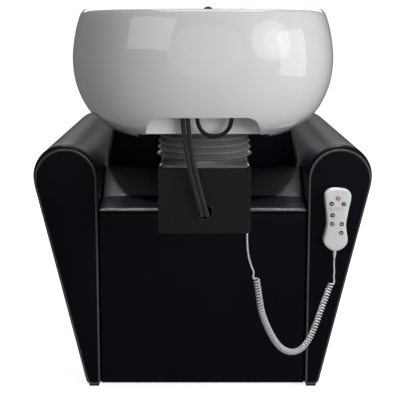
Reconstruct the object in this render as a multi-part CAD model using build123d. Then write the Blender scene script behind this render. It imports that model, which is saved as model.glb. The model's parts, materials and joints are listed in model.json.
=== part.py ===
from build123d import *
import math
import os

# Shampoo backwash unit: armchair with leg rest, and a tilting wash basin behind it.
# Millimetres. +Z up, +Y to the front of the seat, -Y to the basin. Z = 0 is the floor.

# ---------------------------------------------------------------- driving dimensions
# armrests: a round top over a body that tapers to a narrow foot
ARM_REAR, ARM_FRONT = -220.0, 680.0
ARM_INNER = 257.0
ARM_TOP_R = 78.5
ARM_TOP_Z = 535.5
ARM_FOOT = (291.0, 6.0)
ARM_WALL = 14.0
ARM_EDGE_R = 9.0
ARM_BOLTS = [(95.0, 45.0), (480.0, 45.0), (95.0, 330.0), (480.0, 330.0)]
GLIDE_H = 6.0

# chair body between the arms
PANEL_HALF = 256.6
LEDGE_NEAR = (-214.0, 454.0)
LEDGE_FAR = (-112.0, 469.0)
SLOPE_TOP = (-40.0, 540.0)
BLOCK_BOTTOM = 432.0
PANEL_TOP = 446.0
BACK_LEAN = 15.0
BACK_TOP_Z = 868.0
BACK_BARREL_R = 1700.0
SHELL_T, CUSHION_T = 30.0, 72.0
SEAT_TOP = 462.0
SEAT_FRONT = 606.0

# base frame
ANCHOR_R = 5.5

# leg rest
LEG_PIVOT = (618.0, 401.0)
LEG_PAD_Z = (45.0, 392.0)
LEG_ROD_EYE = (606.0, 331.0)
ROD_SLOT_R = 16.0
ACTUATOR_BASE = (250.0, 110.0)

# basin
BASIN_Y = -420.0
BASIN_DEPTH_RATIO = 260.0 / 283.6
BASIN_POWER = 2.25
# height of each level and the half width there
BASIN_LEVELS = [
    (661.0, 138.0), (667.5, 172.0), (676.5, 195.0), (691.0, 219.0), (710.0, 242.0), (740.0, 262.5),
    (783.0, 278.5), (835.0, 283.6), (887.0, 277.0), (921.0, 267.5), (935.0, 259.0),
]
BASIN_WALL = 11.0
DECK_Z = 895.0
# height of each level of the bowl, the half width there, and the level's middle
BOWL_LEVELS = [
    (757.0, 52.0, -420.0), (763.0, 96.0, -415.0), (785.0, 155.0, -405.0), (815.0, 195.0, -398.0),
    (850.0, 218.0, -393.0), (DECK_Z + 2, 232.0, -391.0),
]
# half width of the bowl's solid, at the foot of the wall round the deck
BOWL_CORE = 234.0
DRAIN_Y = BASIN_Y
DRAIN_D = 32.0
PIVOT = (BASIN_Y, 660.0)
PIN_R = 6.0
RUN = 0.05

# pedestal and its cover
COVER_X = 3.0
COVER = (-97.0, 103.0, -525.0, -100.0, 459.0, 600.0)
COVER_WALL = 3.0
HOSE_HOLE = (3.6, 507.0)
HOSE_HOLE_R = 18.0

# mixer and hand spray on the deck
MIXER = (10.0, -606.0)
SPRAY = (97.0, -590.0)
SPRAY_LIFT = 120.0

# handset on the right arm
HANDSET = (325.5, 433.0)
HANDSET_TURN = 2.0
HANDSET_BACK, HANDSET_FACE = -224.0, -246.0
CORD_Y = -238.5
BUTTON_TRAVEL = 1.0
# half width of the handset at heights above its middle
HANDSET_OUTLINE = [(78.0, 0.0), (74.0, 19.0), (66.0, 31.0), (50.0, 32.5), (20.0, 27.5), (-9.0, 24.4),
                   (-35.0, 27.5), (-53.0, 29.8), (-70.0, 21.0), (-78.0, 0.0)]

# hoses and the handset's cord
WASTE_R, INLET_R = 20.0, 10.5
SUPPLY_D, SPRAY_HOSE_D = 10.0, 9.0
CORD_D, COIL_D = 4.5, 15.5

os.makedirs("parts", exist_ok=True)
NODES = {}


# ---------------------------------------------------------------- helpers
def block(x0, x1, y0, y1, z0, z1):
    """A box between two corners."""
    return Pos((x0 + x1) / 2, (y0 + y1) / 2, (z0 + z1) / 2) * Box(x1 - x0, y1 - y0, z1 - z0)


def rod(start, end, radius):
    """A cylinder from one point to another."""
    a, b = Vector(*start), Vector(*end)
    axis = Plane(origin=a, z_dir=(b - a).normalized())
    return axis * Cylinder(radius, (b - a).length, align=(Align.CENTER, Align.CENTER, Align.MIN))


def ring(start, end, outer, inner):
    """A tube from one point to another."""
    a, b = Vector(*start), Vector(*end)
    over = (b - a).normalized()
    return rod(start, end, outer) - rod(tuple(a - over), tuple(b + over), inner)


def polygon(points):
    """A flat face from corner points."""
    return make_face(Polyline(*points, close=True))


def slab_x(face, x0, x1):
    """Extrude a (y, z) face from x0 to x1."""
    plane = Plane(origin=(x0, 0, 0), x_dir=(0, 1, 0), z_dir=(1, 0, 0))
    return extrude(plane * face, amount=x1 - x0)


def slab_y(face, y0, y1):
    """Extrude an (x, z) face from y0 to y1."""
    plane = Plane(origin=(0, y1, 0), x_dir=(1, 0, 0), z_dir=(0, -1, 0))
    return extrude(plane * face, amount=y1 - y0)


def both_sides(solid):
    """The solid and its mirror image across the middle plane."""
    return Compound([*solid.solids(), *mirror(solid, about=Plane.YZ).solids()])


def add(name, shape):
    """Keep a named piece, and write it to its own file."""
    shape = Compound(shape.solids()) if len(shape.solids()) > 1 else shape.solids()[0]
    shape.label = name
    NODES[name] = shape
    export_step(shape, f"parts/{name}.step")


def superellipse(half_x, half_y, y_mid, z, power=BASIN_POWER, count=28):
    """A smooth closed outline between an ellipse and a rectangle."""
    points = []
    for i in range(count):
        angle = 2 * math.pi * i / count
        c, s = math.cos(angle), math.sin(angle)
        x = half_x * math.copysign(abs(c) ** (2 / power), c)
        y = y_mid + half_y * math.copysign(abs(s) ** (2 / power), s)
        points.append((x, y, z))
    return make_face(Spline(*points, periodic=True))


def bent_tube(points, diameter, label):
    """A round tube along straight runs that tangent arcs join, and its length."""
    corners = [Vector(*p) for p in points]
    radii = []
    for before, at, after in zip(corners, corners[1:], corners[2:]):
        turn = math.radians((at - before).get_angle(after - at))
        shorter = min((at - before).length, (after - at).length)
        radii.append(0.45 * shorter / math.tan(turn / 2))
    path = FilletPolyline(*corners, radius=radii)
    tube = sweep(Plane(origin=corners[0], z_dir=corners[1] - corners[0]) * Circle(diameter / 2), path)
    ideal = math.pi * diameter**2 / 4 * path.length
    print(f"{label}: length {path.length:.0f}, radii {min(radii):.0f} to {max(radii):.0f}, "
          f"volume ratio {tube.volume / ideal:.4f}")
    return tube


# ---------------------------------------------------------------- armrests
def arm_outline(shrink=0.0, foot_round=12.0):
    """The right arm's section: round top, upright inner side, slanting outer side."""
    radius = ARM_TOP_R - shrink
    mid_x = ARM_INNER + ARM_TOP_R
    foot_x, foot_z = ARM_FOOT[0] - shrink * 1.1, ARM_FOOT[1] + shrink
    inner = ARM_INNER + shrink
    # tangent from the foot's outer corner to the round top
    dx, dz = mid_x - foot_x, ARM_TOP_Z - foot_z
    reach = math.hypot(dx, dz)
    lean = math.atan2(dz, dx) - math.asin(radius / reach)
    along = math.sqrt(reach**2 - radius**2)
    touch = (foot_x + along * math.cos(lean), foot_z + along * math.sin(lean))
    outline = [
        Line((inner, foot_z), (inner, ARM_TOP_Z)),
        ThreePointArc((inner, ARM_TOP_Z), (mid_x, ARM_TOP_Z + radius), touch),
        Line(touch, (foot_x, foot_z)),
        Line((foot_x, foot_z), (inner, foot_z)),
    ]
    face = make_face(outline)
    if foot_round:
        low = face.vertices().sort_by(Axis.Y)[:2]
        face = fillet(low, foot_round)
    return face


def right_arm():
    """An upholstered arm on a boarded core, with softened ends and holes for its bolts."""
    body = slab_y(arm_outline(), ARM_REAR, ARM_FRONT)
    ends = body.edges().filter_by(lambda e: e.bounding_box().size.Y < 0.01)
    body = fillet(ends, ARM_EDGE_R)
    core = slab_y(arm_outline(ARM_WALL, 0), ARM_REAR + ARM_WALL, ARM_FRONT - ARM_WALL)
    body = body - core
    for y, z in ARM_BOLTS:
        body = body - rod((250, y, z), (268, y, z), 4)
    return body


arm = right_arm()
add("right_arm", arm)
add("left_arm", mirror(arm, about=Plane.YZ))

# ---------------------------------------------------------------- base frame and pedestal
def base_frame():
    """Welded tube frame: floor rails, seat posts and rails, and the basin's posts."""
    tube = 3.0

    def bar(x0, x1, y0, y1, z0, z1, axis):
        """A square tube, open along its axis."""
        size = {"x": (x1 - x0, 0, 0), "y": (0, y1 - y0, 0), "z": (0, 0, z1 - z0)}[axis]
        grow = [tube if s == 0 else -1 for s in size]
        hole = block(x0 + grow[0], x1 - grow[0], y0 + grow[1], y1 - grow[1], z0 + grow[2], z1 - grow[2])
        return block(x0, x1, y0, y1, z0, z1) - hole

    rail_z = (30, 60)
    pieces = []
    for side in (-1, 1):
        x0, x1 = sorted((side * 196, side * 226))
        pieces.append(bar(x0, x1, -180, 600, *rail_z, "y"))
        for y in (25, 545):
            pieces.append(bar(x0, x1, y, y + 30, 60, 345, "z"))
        pieces.append(bar(x0, x1, 55, 545, 315, 345, "y"))
        b0, b1 = sorted((side * 40, side * 70))
        pieces.append(bar(b0, b1, -35, -5, 60, 470, "z"))
    for y in (-180, -35, 570):
        pieces.append(bar(-196, 196, y, y + 30, *rail_z, "x"))
    pieces.append(bar(-196, 196, 500, 530, 315, 345, "x"))
    pieces.append(bar(-196, 196, 236, 266, *rail_z, "x"))
    frame = Part() + pieces
    for y, z in ARM_BOLTS:
        frame = frame - rod((-240, y, z), (240, y, z), 4)
    # tabs with holes for floor anchors
    for x in (-170, 170):
        for y in (-150, 540):
            tab = block(x - 25, x + 25, y - 20, y + 50, 24, 30)
            frame = frame + tab - rod((x, y, 20), (x, y, 35), ANCHOR_R)
    # ears that carry the leg rest's hinge pins
    for side in (-1, 1):
        inner, outer = sorted((side * 226, side * 232))
        ear_outline = [(560, 318), (622, 345), (627, 372), (627, 401), (609.5, 401), (609.5, 352), (560, 352)]
        ear = slab_x(polygon(ear_outline), inner, outer)
        ear = ear + rod((inner, *LEG_PIVOT), (outer, *LEG_PIVOT), 9)
        frame = frame + ear - rod((-240, *LEG_PIVOT), (240, *LEG_PIVOT), PIN_R)
    # lugs for the actuator's lower pin
    y, z = ACTUATOR_BASE
    for side in (-1, 1):
        inner, outer = sorted((side * 16, side * 22))
        lug = block(inner, outer, y - 14, y + 14, 60, z) + rod((inner, y, z), (outer, y, z), 14)
        frame = frame + lug - rod((-30, y, z), (30, y, z), 5)
    return frame


add("base_frame", base_frame())
feet = [rod((x, y, 0), (x, y, 8), 20) + rod((x, y, 8), (x, y, 30), 5)
        for x in (-211, 211) for y in (-150, 585)]
glides = [block(side * 274 - 12, side * 274 + 12, y - 22, y + 22, 0, GLIDE_H)
          for side in (-1, 1) for y in (-190, 80, 380, 650)]
add("floor_glides", Compound(feet + glides))


def basin_beams():
    """Two cantilever tubes and the plate on their rear end."""
    beams = Part()
    for side in (-1, 1):
        x0, x1 = sorted((side * 40, side * 70))
        beams = beams + block(x0, x1, -500, -5, 470, 530) - block(x0 + 3, x1 - 3, -501, -8, 473, 527)
    plate = block(-80, 80, -500, -340, 530, 538) - rod((0, BASIN_Y, 520), (0, BASIN_Y, 545), 32)
    return beams + plate


def tilt_fork():
    """The fixed half of the tilt hinge: a foot plate and two ears with the pins' holes."""
    y, z = PIVOT
    foot = block(-78, 78, y - 60, y + 60, 538, 544) - rod((0, y, 530), (0, y, 550), 34)
    fork = foot
    for side in (-1, 1):
        x0, x1 = sorted((side * 58, side * 64))
        profile = polygon([(y - 40, 544), (y + 40, 544), (y + 15, z), (y - 15, z)])
        fork = fork + slab_x(profile, x0, x1) + rod((x0, y, z), (x1, y, z), 15)
    fork = fork - rod((-70, y, z), (70, y, z), PIN_R)
    for x in (-68, 68):
        for dy in (-50, 50):
            fork = fork - rod((x, y + dy, 530), (x, y + dy, 550), 4.5)
    return fork


add("basin_beams", basin_beams())
add("tilt_fork", tilt_fork())
pin_y, pin_z = PIVOT
tilt_pin = rod((49, pin_y, pin_z), (64, pin_y, pin_z), PIN_R)
tilt_pin = tilt_pin + rod((64, pin_y, pin_z), (68, pin_y, pin_z), 10)
add("tilt_pins", both_sides(tilt_pin))
fork_bolts = []
for x in (-68, 68):
    for y in (pin_y - 50, pin_y + 50):
        fork_bolts.append(rod((x, y, 539), (x, y, 544), 4.3) + rod((x, y, 544), (x, y, 550), 7))
arm_bolts = [rod((191, y, z), (268, y, z), 4) + rod((187, y, z), (196, y, z), 6.5) for y, z in ARM_BOLTS]
add("frame_bolts", Compound(fork_bolts + [*both_sides(Compound(arm_bolts)).solids()]))


def pedestal_cover():
    """The black box over the beams, open at its forward end."""
    x0, x1, y0, y1, z0, z1 = COVER
    wall = COVER_WALL
    shell = block(x0, x1, y0, y1, z0, z1)
    shell = fillet(shell.edges().filter_by(Axis.Z).sort_by(Axis.Y)[:2], 2.0)
    shell = shell - block(x0 + wall, x1 - wall, y0 + wall, y1 + 1, z0 + wall, z1 - wall)
    shell = shell + block(90, 100.5, -495, -481, z0, z0 + wall)
    shell = shell - rod((COVER_X, BASIN_Y, z1 - 10), (COVER_X, BASIN_Y, z1 + 10), 80)
    hole_x, hole_z = HOSE_HOLE
    shell = shell - rod((hole_x, y0 - 5, hole_z), (hole_x, y0 + 5, hole_z), HOSE_HOLE_R)
    return shell - rod((97, -488, z0 - 5), (97, -488, z0 + 5), 4)


add("pedestal_cover", pedestal_cover())
hx, hz = HOSE_HOLE
add("hose_grommet", ring((hx, -526.5, hz), (hx, -522, hz), HOSE_HOLE_R, HOSE_HOLE_R - 2.5)
    + ring((hx, -526.5, hz), (hx, -525, hz), HOSE_HOLE_R + 1.2, HOSE_HOLE_R - 2.5))
add("cord_gland", ring((97, -488, 455), (97, -488, 462), 4, CORD_D / 2)
    + ring((97, -488, 455), (97, -488, 459), 5.5, CORD_D / 2))


def bellows():
    """The ribbed sleeve under the basin: its ribs widen towards the bottom."""
    ribs = [(668.0, 99.5), (654.0, 101.4), (640.0, 103.6), (626.0, 106.1)]
    outline = [(92.0, 690.0), (96.0, 690.0), (97.0, 675.0)]
    for z, radius in ribs:
        outline += [(radius, z), (radius - 8.0, z - 7.0)]
    outline += [(95.0, 616.5), (92.0, 616.5)]
    for z, radius in reversed(ribs):
        outline += [(radius - 10.5, z - 7.0), (radius - 3.5, z)]
    face = Plane.XZ * polygon(outline)
    return Pos(COVER_X, BASIN_Y, 0) * revolve(face, Axis.Z)


add("bellows", bellows())
base = block(COVER_X - 98, COVER_X + 98, BASIN_Y - 98, BASIN_Y + 98, 600, 605)
base = fillet(base.edges().filter_by(Axis.Z), 18)
base = base + Pos(COVER_X, BASIN_Y, 610.5) * Cone(97.5, 94.5, 11)
add("bellows_base", base - rod((COVER_X, BASIN_Y, 590), (COVER_X, BASIN_Y, 620), 88))


# ---------------------------------------------------------------- chair body
def rear_block():
    """The ledge and the slope behind the backrest, with room for the beams and their posts."""
    outer = polygon([(-214, PANEL_TOP), LEDGE_NEAR, LEDGE_FAR, SLOPE_TOP, (14, 540), (14, BLOCK_BOTTOM),
                     (-196, BLOCK_BOTTOM), (-196, PANEL_TOP)])
    body = slab_x(outer, -PANEL_HALF, PANEL_HALF)
    body = body - block(COVER[0] - 0.6, COVER[1] + 0.6, -220, COVER[3] + 0.6, 458, 560)
    return body - block(-72, 72, -101, -3, BLOCK_BOTTOM - 1, 545)


add("rear_block", rear_block())
add("rear_panel", block(-PANEL_HALF, PANEL_HALF, -214, -196, 8, PANEL_TOP))


def backrest_outline():
    """The backrest's arch, in its own plane: x across, y up from the slope's top."""
    height = (BACK_TOP_Z - 470.0) / math.cos(math.radians(BACK_LEAN))
    side = Spline((247, 0), (247, 70), (240, 125), (222, 200), (180, 290), (112, height - 26), (60, height - 4),
                  (0, height), tangents=[(0, 1), (-1, 0)])
    return make_face([side, mirror(side, about=Plane.YZ), Line((-247, 0), (247, 0))])


def backrest_layer(near, far, barrel):
    """A layer of the leaning backrest, clear of the frame below it."""
    origin = (0, SLOPE_TOP[0] + 70 * math.tan(math.radians(BACK_LEAN)), 470)
    lean = math.radians(BACK_LEAN)
    plane = Plane(origin=origin, x_dir=(1, 0, 0), z_dir=(0, math.cos(lean), math.sin(lean)))
    # the plane's own y axis points down the back, so the outline is turned over
    face = mirror(backrest_outline(), about=Plane.XZ)
    layer = extrude(plane.offset(near) * face, amount=far - near)
    if barrel:
        axis = plane * Pos(0, 0, BACK_BARREL_R - 17.0)
        layer = layer & (axis * Rot(90, 0, 0) * Cylinder(BACK_BARREL_R, 1600))
    layer = layer - block(-300, 300, -200, 14.5, 300, 541)
    return layer - block(-300, 300, -200, 300, 300, SEAT_TOP + 1)


add("backrest_shell", backrest_layer(-17.0, SHELL_T, True))
add("backrest_cushion", backrest_layer(SHELL_T, SHELL_T + CUSHION_T, False))
add("seat_board", block(-222, 222, 60, 575, 345, 363))


def seat_cushion():
    """The seat's padded block with a rounded front edge."""
    body = block(-255.5, 255.5, 16, SEAT_FRONT, 363, SEAT_TOP)
    front = body.edges().filter_by(Axis.X).group_by(Axis.Y)[-1].sort_by(Axis.Z)[-1]
    return fillet(front, 30)


add("seat_cushion", seat_cushion())
add("kick_panel", block(-PANEL_HALF, PANEL_HALF, 601, 607, 12, 285))
add("control_box", block(-160, -60, 330, 470, 60, 105))
add("mains_inlet", block(-134, -86, 470, 492, 66, 94) - block(-127, -93, 480, 493, 72, 88))


# ---------------------------------------------------------------- leg rest and its actuator
def leg_rest_frame():
    """The leg rest's hinge arms and the cheeks that the actuator pushes."""
    y, z = LEG_PIVOT
    frame = block(-190, 190, 626, 631, 150, 210)
    for side in (-1, 1):
        x0, x1 = sorted((side * 218, side * 224))
        arm = block(x0, x1, 608, 631, 120, z) + rod((x0, y, z), (x1, y, z), 10)
        arm = arm + block(min(x0, x0 - side * 34), max(x1 - side * 34, x1), 626, 631, 120, 360)
        frame = frame + (arm - rod((-240, y, z), (240, y, z), PIN_R + RUN))
    frame = frame + block(-200, 200, 626, 631, 300, 345) + block(-200, 200, 626, 631, 120, 160)
    eye_y, eye_z = LEG_ROD_EYE
    for side in (-1, 1):
        x0, x1 = sorted((side * 15, side * 20))
        cheek = block(x0, x1, eye_y, 631, eye_z - 22, eye_z + 22)
        cheek = cheek + rod((x0, eye_y, eye_z), (x1, eye_y, eye_z), 22)
        frame = frame + (cheek - rod((-30, eye_y, eye_z), (30, eye_y, eye_z), ROD_SLOT_R))
    return frame


add("leg_rest_frame", leg_rest_frame())
add("leg_rest_board", block(-245, 245, 631, 643, 50, 385))
pad = block(-252, 252, 643, 679, *LEG_PAD_Z)
add("leg_rest_pad", fillet(pad.edges().group_by(Axis.Y)[-1], 14))
leg_y, leg_z = LEG_PIVOT
leg_pin = rod((217, leg_y, leg_z), (232, leg_y, leg_z), PIN_R)
leg_pin = leg_pin + rod((232, leg_y, leg_z), (236, leg_y, leg_z), 9)
low_y, low_z = ACTUATOR_BASE
base_pin = rod((-28, low_y, low_z), (24, low_y, low_z), 5) + rod((24, low_y, low_z), (28, low_y, low_z), 8)
add("leg_rest_pins", Compound([*both_sides(leg_pin).solids(), *base_pin.solids()]))


def along_actuator(start, end, radius, inner=0.0):
    """A round piece on the actuator's centre line, measured from its lower pin."""
    line = actuator_line()
    a, b = line(start), line(end)
    return ring(a, b, radius, inner) if inner else rod(a, b, radius)


def actuator_line():
    """A point on the line from the actuator's lower pin to the rod's eye."""
    (y0, z0), (y1, z1) = ACTUATOR_BASE, LEG_ROD_EYE
    reach = math.hypot(y1 - y0, z1 - z0)

    def at(distance):
        """The point at this distance from the lower pin."""
        return (0, y0 + (y1 - y0) * distance / reach, z0 + (z1 - z0) * distance / reach)

    return at


eye_reach = math.hypot(LEG_ROD_EYE[0] - low_y, LEG_ROD_EYE[1] - low_z)
housing = along_actuator(0, 40, 14) + along_actuator(40, 300, 22)
housing = housing - along_actuator(60, 301, 13.0)
housing = housing + rod((-15.5, low_y, low_z), (15.5, low_y, low_z), 14)
housing = housing - rod((-20, low_y, low_z), (20, low_y, low_z), 5 + RUN)
motor_y, motor_z = actuator_line()(75)[1:]
housing = housing + (rod((0, motor_y + 45, motor_z - 30), (0, motor_y - 5, motor_z - 61), 19)
                     + rod((0, motor_y + 30, motor_z - 35), (0, motor_y + 22, motor_z - 5), 16))
housing = housing - along_actuator(60, 301, 13.0) + along_actuator(286, 300, 13.5, 10.05)
add("actuator_housing", housing)
rod_part = along_actuator(190, eye_reach - 8, 10)
rod_part = rod_part + along_actuator(190, 202, 12.9)
rod_part = rod_part + rod((-12, *LEG_ROD_EYE), (12, *LEG_ROD_EYE), 12)
add("actuator_rod", rod_part + rod((-24, *LEG_ROD_EYE), (24, *LEG_ROD_EYE), 5))


# ---------------------------------------------------------------- basin
def level_width(z):
    """The basin's half width at a height, between its levels."""
    for (z0, a0), (z1, a1) in zip(BASIN_LEVELS, BASIN_LEVELS[1:]):
        if z0 <= z <= z1:
            return a0 + (a1 - a0) * (z - z0) / (z1 - z0)
    return BASIN_LEVELS[-1][1]


def basin_body():
    """The ceramic basin: a bowl with a deck behind it inside a skirt, open underneath."""
    outer = loft([superellipse(a, a * BASIN_DEPTH_RATIO, BASIN_Y, z) for z, a in BASIN_LEVELS])
    inset = BASIN_WALL
    hollow_levels = [(655.0, 120.0), (672.0, 122.0), (683.0, 155.0), (696.0, 196.0), (716.0, 231.0)]
    hollow_levels += [(z, level_width(z) - inset) for z in (745.0, 785.0, 835.0, 868.0)]
    hollow = loft([superellipse(a, a * BASIN_DEPTH_RATIO, BASIN_Y, z) for z, a in hollow_levels])
    bowl = loft([superellipse(a, a * 0.77, y, z) for z, a, y in BOWL_LEVELS])
    bowl_skin = loft([superellipse(a + inset, a * 0.77 + inset, y, z - inset * 0.95)
                      for z, a, y in BOWL_LEVELS])
    recess = loft([superellipse(a, a * 0.91, BASIN_Y, z)
                   for z, a in ((DECK_Z, 234.0), (915.0, 236.0), (940.0, 240.0))])
    seat = rod((0, BASIN_Y, 664), (0, BASIN_Y, 747), 122)
    seat = seat - rod((0, BASIN_Y, 650), (0, BASIN_Y, 742), 111)
    floor = block(-115, 115, BASIN_Y - 115, BASIN_Y + 115, 742, 760)
    body = outer - (hollow - bowl_skin) + ((seat + floor) & outer & hollow)
    body = body - bowl - recess
    # neck notch in the front, and the arch under the rear where the hoses leave
    notch = slab_y(make_face([Line((-100, 950), (100, 950)), Line((100, 950), (92, 905)),
                              ThreePointArc((92, 905), (0, 868), (-92, 905)), Line((-92, 905), (-100, 950))]),
                   -240, -130)
    arch = slab_y(fillet(polygon([(-127, 650), (127, 650), (110, 720.5), (-110, 720.5)]).vertices()
                         .sort_by(Axis.Y)[2:], 34), -700, -545)
    body = body - notch - arch
    for x, y, radius in ((*MIXER, 17.5), (*SPRAY, 14.0)):
        body = body - rod((x, y, 850), (x, y, 905), radius)
    body = body - rod((0, DRAIN_Y, 730), (0, DRAIN_Y, 790), DRAIN_D / 2 + 2)
    for x in (-75, 75):
        for dy in (-45, 45):
            body = body - rod((x, BASIN_Y + dy, 740), (x, BASIN_Y + dy, 750), 4)
    return body


def largest(shape):
    """The largest solid of a shape."""
    return shape.solids().sort_by(SortBy.VOLUME)[-1]


# one casting, kept as two solids that meet: the bowl with its deck, and the skirt with the rim
basin = largest(basin_body())
core = extrude(superellipse(BOWL_CORE, BOWL_CORE * 0.91, BASIN_Y, 742.0), amount=210)
add("basin_bowl", largest(basin & core))
add("basin_skirt", largest(basin - core))


def neck_rest():
    """The soft saddle in the neck notch."""
    outer = make_face([Line((-88, 938), (-96.5, 938)), Line((-96.5, 938), (-90, 906)),
                       ThreePointArc((-90, 906), (0, 869.5), (90, 906)), Line((90, 906), (96.5, 938)),
                       Line((96.5, 938), (88, 938)), Line((88, 938), (80, 908)),
                       ThreePointArc((80, 908), (0, 880), (-80, 908)), Line((-80, 908), (-88, 938))])
    return slab_y(outer, -200, -156)


add("neck_rest", neck_rest())
tilt_plate = rod((0, BASIN_Y, 734), (0, BASIN_Y, 742), 100) - rod((0, BASIN_Y, 730), (0, BASIN_Y, 745), 30)
for side in (-1, 1):
    lug_x = sorted((side * 50, side * 57))
    lug = block(*lug_x, pin_y - 20, pin_y + 20, pin_z, 734)
    lug = lug + rod((lug_x[0], pin_y, pin_z), (lug_x[1], pin_y, pin_z), 16)
    tilt_plate = tilt_plate + lug - rod((-60, pin_y, pin_z), (60, pin_y, pin_z), PIN_R + RUN)
plate_bolts = []
for x in (-75, 75):
    for y in (BASIN_Y - 45, BASIN_Y + 45):
        tilt_plate = tilt_plate - rod((x, y, 730), (x, y, 745), 4.5)
        plate_bolts.append(rod((x, y, 734), (x, y, 742), 4.3) + rod((x, y, 728), (x, y, 734), 7))
add("tilt_plate", tilt_plate)
add("plate_bolts", Compound(plate_bolts))


def drain_fitting():
    """The waste's flange in the bowl and the tail under it."""
    tail = DRAIN_D / 2
    fitting = ring((0, DRAIN_Y, 757), (0, DRAIN_Y, 760), 31, tail - 2)
    return fitting + ring((0, DRAIN_Y, 672), (0, DRAIN_Y, 757), tail, tail - 2)


add("drain_fitting", drain_fitting())
strainer = rod((0, DRAIN_Y, 760.1), (0, DRAIN_Y, 762), 28) + rod((0, DRAIN_Y, 745), (0, DRAIN_Y, 760.1), 13.7)
strainer = strainer - rod((0, DRAIN_Y, 740), (0, DRAIN_Y, 759.5), 12)
for i in range(8):
    a = 2 * math.pi * i / 8
    hole_at = (8 * math.cos(a), DRAIN_Y + 8 * math.sin(a))
    strainer = strainer - rod((*hole_at, 758), (*hole_at, 765), 2.2)
add("drain_strainer", strainer)


# ---------------------------------------------------------------- mixer and spray
mx, my = MIXER
mixer_body = rod((mx, my, DECK_Z), (mx, my, 901), 23) + rod((mx, my, 901), (mx, my, 916), 20)
mixer_body = mixer_body + rod((mx, my, 868), (mx, my, DECK_Z), 16.5)
mixer_body = mixer_body - rod((mx, my, 902), (mx, my, 920), 9 + RUN)
for dx in (-8, 8):
    mixer_body = mixer_body + rod((mx + dx, my, 845), (mx + dx, my, 868), 6)
add("mixer_body", mixer_body)
add("mixer_cartridge", rod((mx, my, 902.3), (mx, my, 916.2), 9) + rod((mx, my, 916.2), (mx, my, 919), 15))
lever = Pos(mx, my, 930.5) * Sphere(10.9) - block(mx - 20, mx + 20, my - 20, my + 20, 900, 921.5)
lever = lever + rod((mx, my + 8, 931), (mx, my + 58, 936), 4.2)
lever = lever + Pos(mx, my + 58, 936) * Sphere(4.2)
add("mixer_lever", lever - rod((mx - 12, my, 930.5), (mx + 12, my, 930.5), 1.5))
sx, sy = SPRAY
holder = ring((sx, sy, DECK_Z), (sx, sy, 899), 21, 11.1) + ring((sx, sy, 872), (sx, sy, DECK_Z), 13.8, 11.1)
add("spray_holder", holder)
spray = rod((sx, sy, 862), (sx, sy, 914), 11) + Pos(sx, sy, 920) * Cone(11, 20, 12)
spray = spray + Pos(sx, sy, 931) * Cylinder(22.3, 10)
spray = fillet(spray.edges().filter_by(GeomType.CIRCLE).group_by(Axis.Z)[-1], 4.5)
add("spray_head", spray + rod((sx, sy, 742), (sx, sy, 862), SPRAY_HOSE_D / 2))

# ---------------------------------------------------------------- hoses
SUPPLY_ROUTE = [(0, -566, 738), (0.3, -566, 712), (4, -563, 674), (12, -552, 618), (24.5, -544, 565),
                (34.5, -546, 528), (39.5, -541, 509), (41.5, -529, 500), (41.9, -513, 498), (42, -496, 499)]


def supply_route(x_start):
    """One supply hose's route: down from the arch, in front of the cover, into its hole."""
    return [(x_start + x, y, z) for x, y, z in SUPPLY_ROUTE]


add("supply_hose_hot", bent_tube(supply_route(-43.5), SUPPLY_D, "supply_hose_hot"))
add("supply_hose_cold", bent_tube(supply_route(-32.8), SUPPLY_D, "supply_hose_cold"))
SPRAY_HOSE_ROUTE = [(-13, -572, 742), (-13.5, -571, 708), (-5, -567, 686), (12, -563, 674), (34, -562, 674),
                    (52, -565.5, 686), (60.5, -570, 708), (60, -571, 742)]
add("spray_hose_loop", bent_tube(SPRAY_HOSE_ROUTE, SPRAY_HOSE_D, "spray_hose_loop"))
DRAIN_ROUTE = [(0, DRAIN_Y, 671.7), (0, DRAIN_Y - 0.4, 605), (0, -419.5, 545), (0, -391, 500), (0, -315, 488),
               (0, -220, 490), (0, -125, 487), (0, -60, 466), (0, -26, 405), (0, -20, 320), (0, -2, 245),
               (0, 40, 190), (0, 72, 150), (0, 75, 105)]
add("drain_hose", bent_tube(DRAIN_ROUTE, DRAIN_D, "drain_hose"))
add("waste_outlet", ring((0, 75, 50), (0, 75, 105), WASTE_R, WASTE_R - 3))
valves = []
for x in (-120, 120):
    valve = rod((x, 120, 95), (x, 120, 135), 12) + rod((x, 120, 72), (x, 120, 95), INLET_R)
    valves.append(valve + rod((x, 120, 115), (x, 150, 115), 7))
add("stop_valves", Compound(valves))

# ---------------------------------------------------------------- handset
HX, HZ = HANDSET


def turned(shape):
    """Turn a piece with the handset, about the handset's middle."""
    return Pos(HX, 0, HZ) * Rot(0, HANDSET_TURN, 0) * shape


def handset_outline(shrink=0.0):
    """The handset's outline about its own middle."""
    right = [(max(half - shrink, 0), v * (1 - shrink / 78.0)) for v, half in HANDSET_OUTLINE]
    right_edge = Spline(*right, tangents=[(1, 0), (-1, 0)])
    return make_face([right_edge, mirror(right_edge, about=Plane.YZ)])


BUTTONS = {
    "power_button": (0.0, 54.0), "tilt_up_button": (-14.5, 40.0), "tilt_down_button": (14.5, 40.0),
    "leg_up_button": (-10.5, 12.0), "leg_down_button": (-10.2, -9.5),
    "memory_button": (12.5, -9.0), "massage_button": (12.5, -30.5),
}
BUTTON_R = 5.2
split = -235.0
front = slab_y(handset_outline(), HANDSET_FACE, split)
front = front - slab_y(handset_outline(2.2), HANDSET_FACE + 2.2, split + 1)
back = slab_y(handset_outline(), split, HANDSET_BACK)
back = back - slab_y(handset_outline(2.2), split - 1, HANDSET_BACK - 2.0)
for u, v in BUTTONS.values():
    front = front - rod((u, HANDSET_FACE - 1, v), (u, HANDSET_FACE + 3, v), BUTTON_R + 0.15)
slot = block(-13, 13, -231.5, HANDSET_BACK + 1, -90, -15)
socket_shell = block(-15, 15, -233.5, HANDSET_BACK, -90, -13)
back = back + (socket_shell & slab_y(handset_outline(1.0), split, HANDSET_BACK)) - slot
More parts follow.
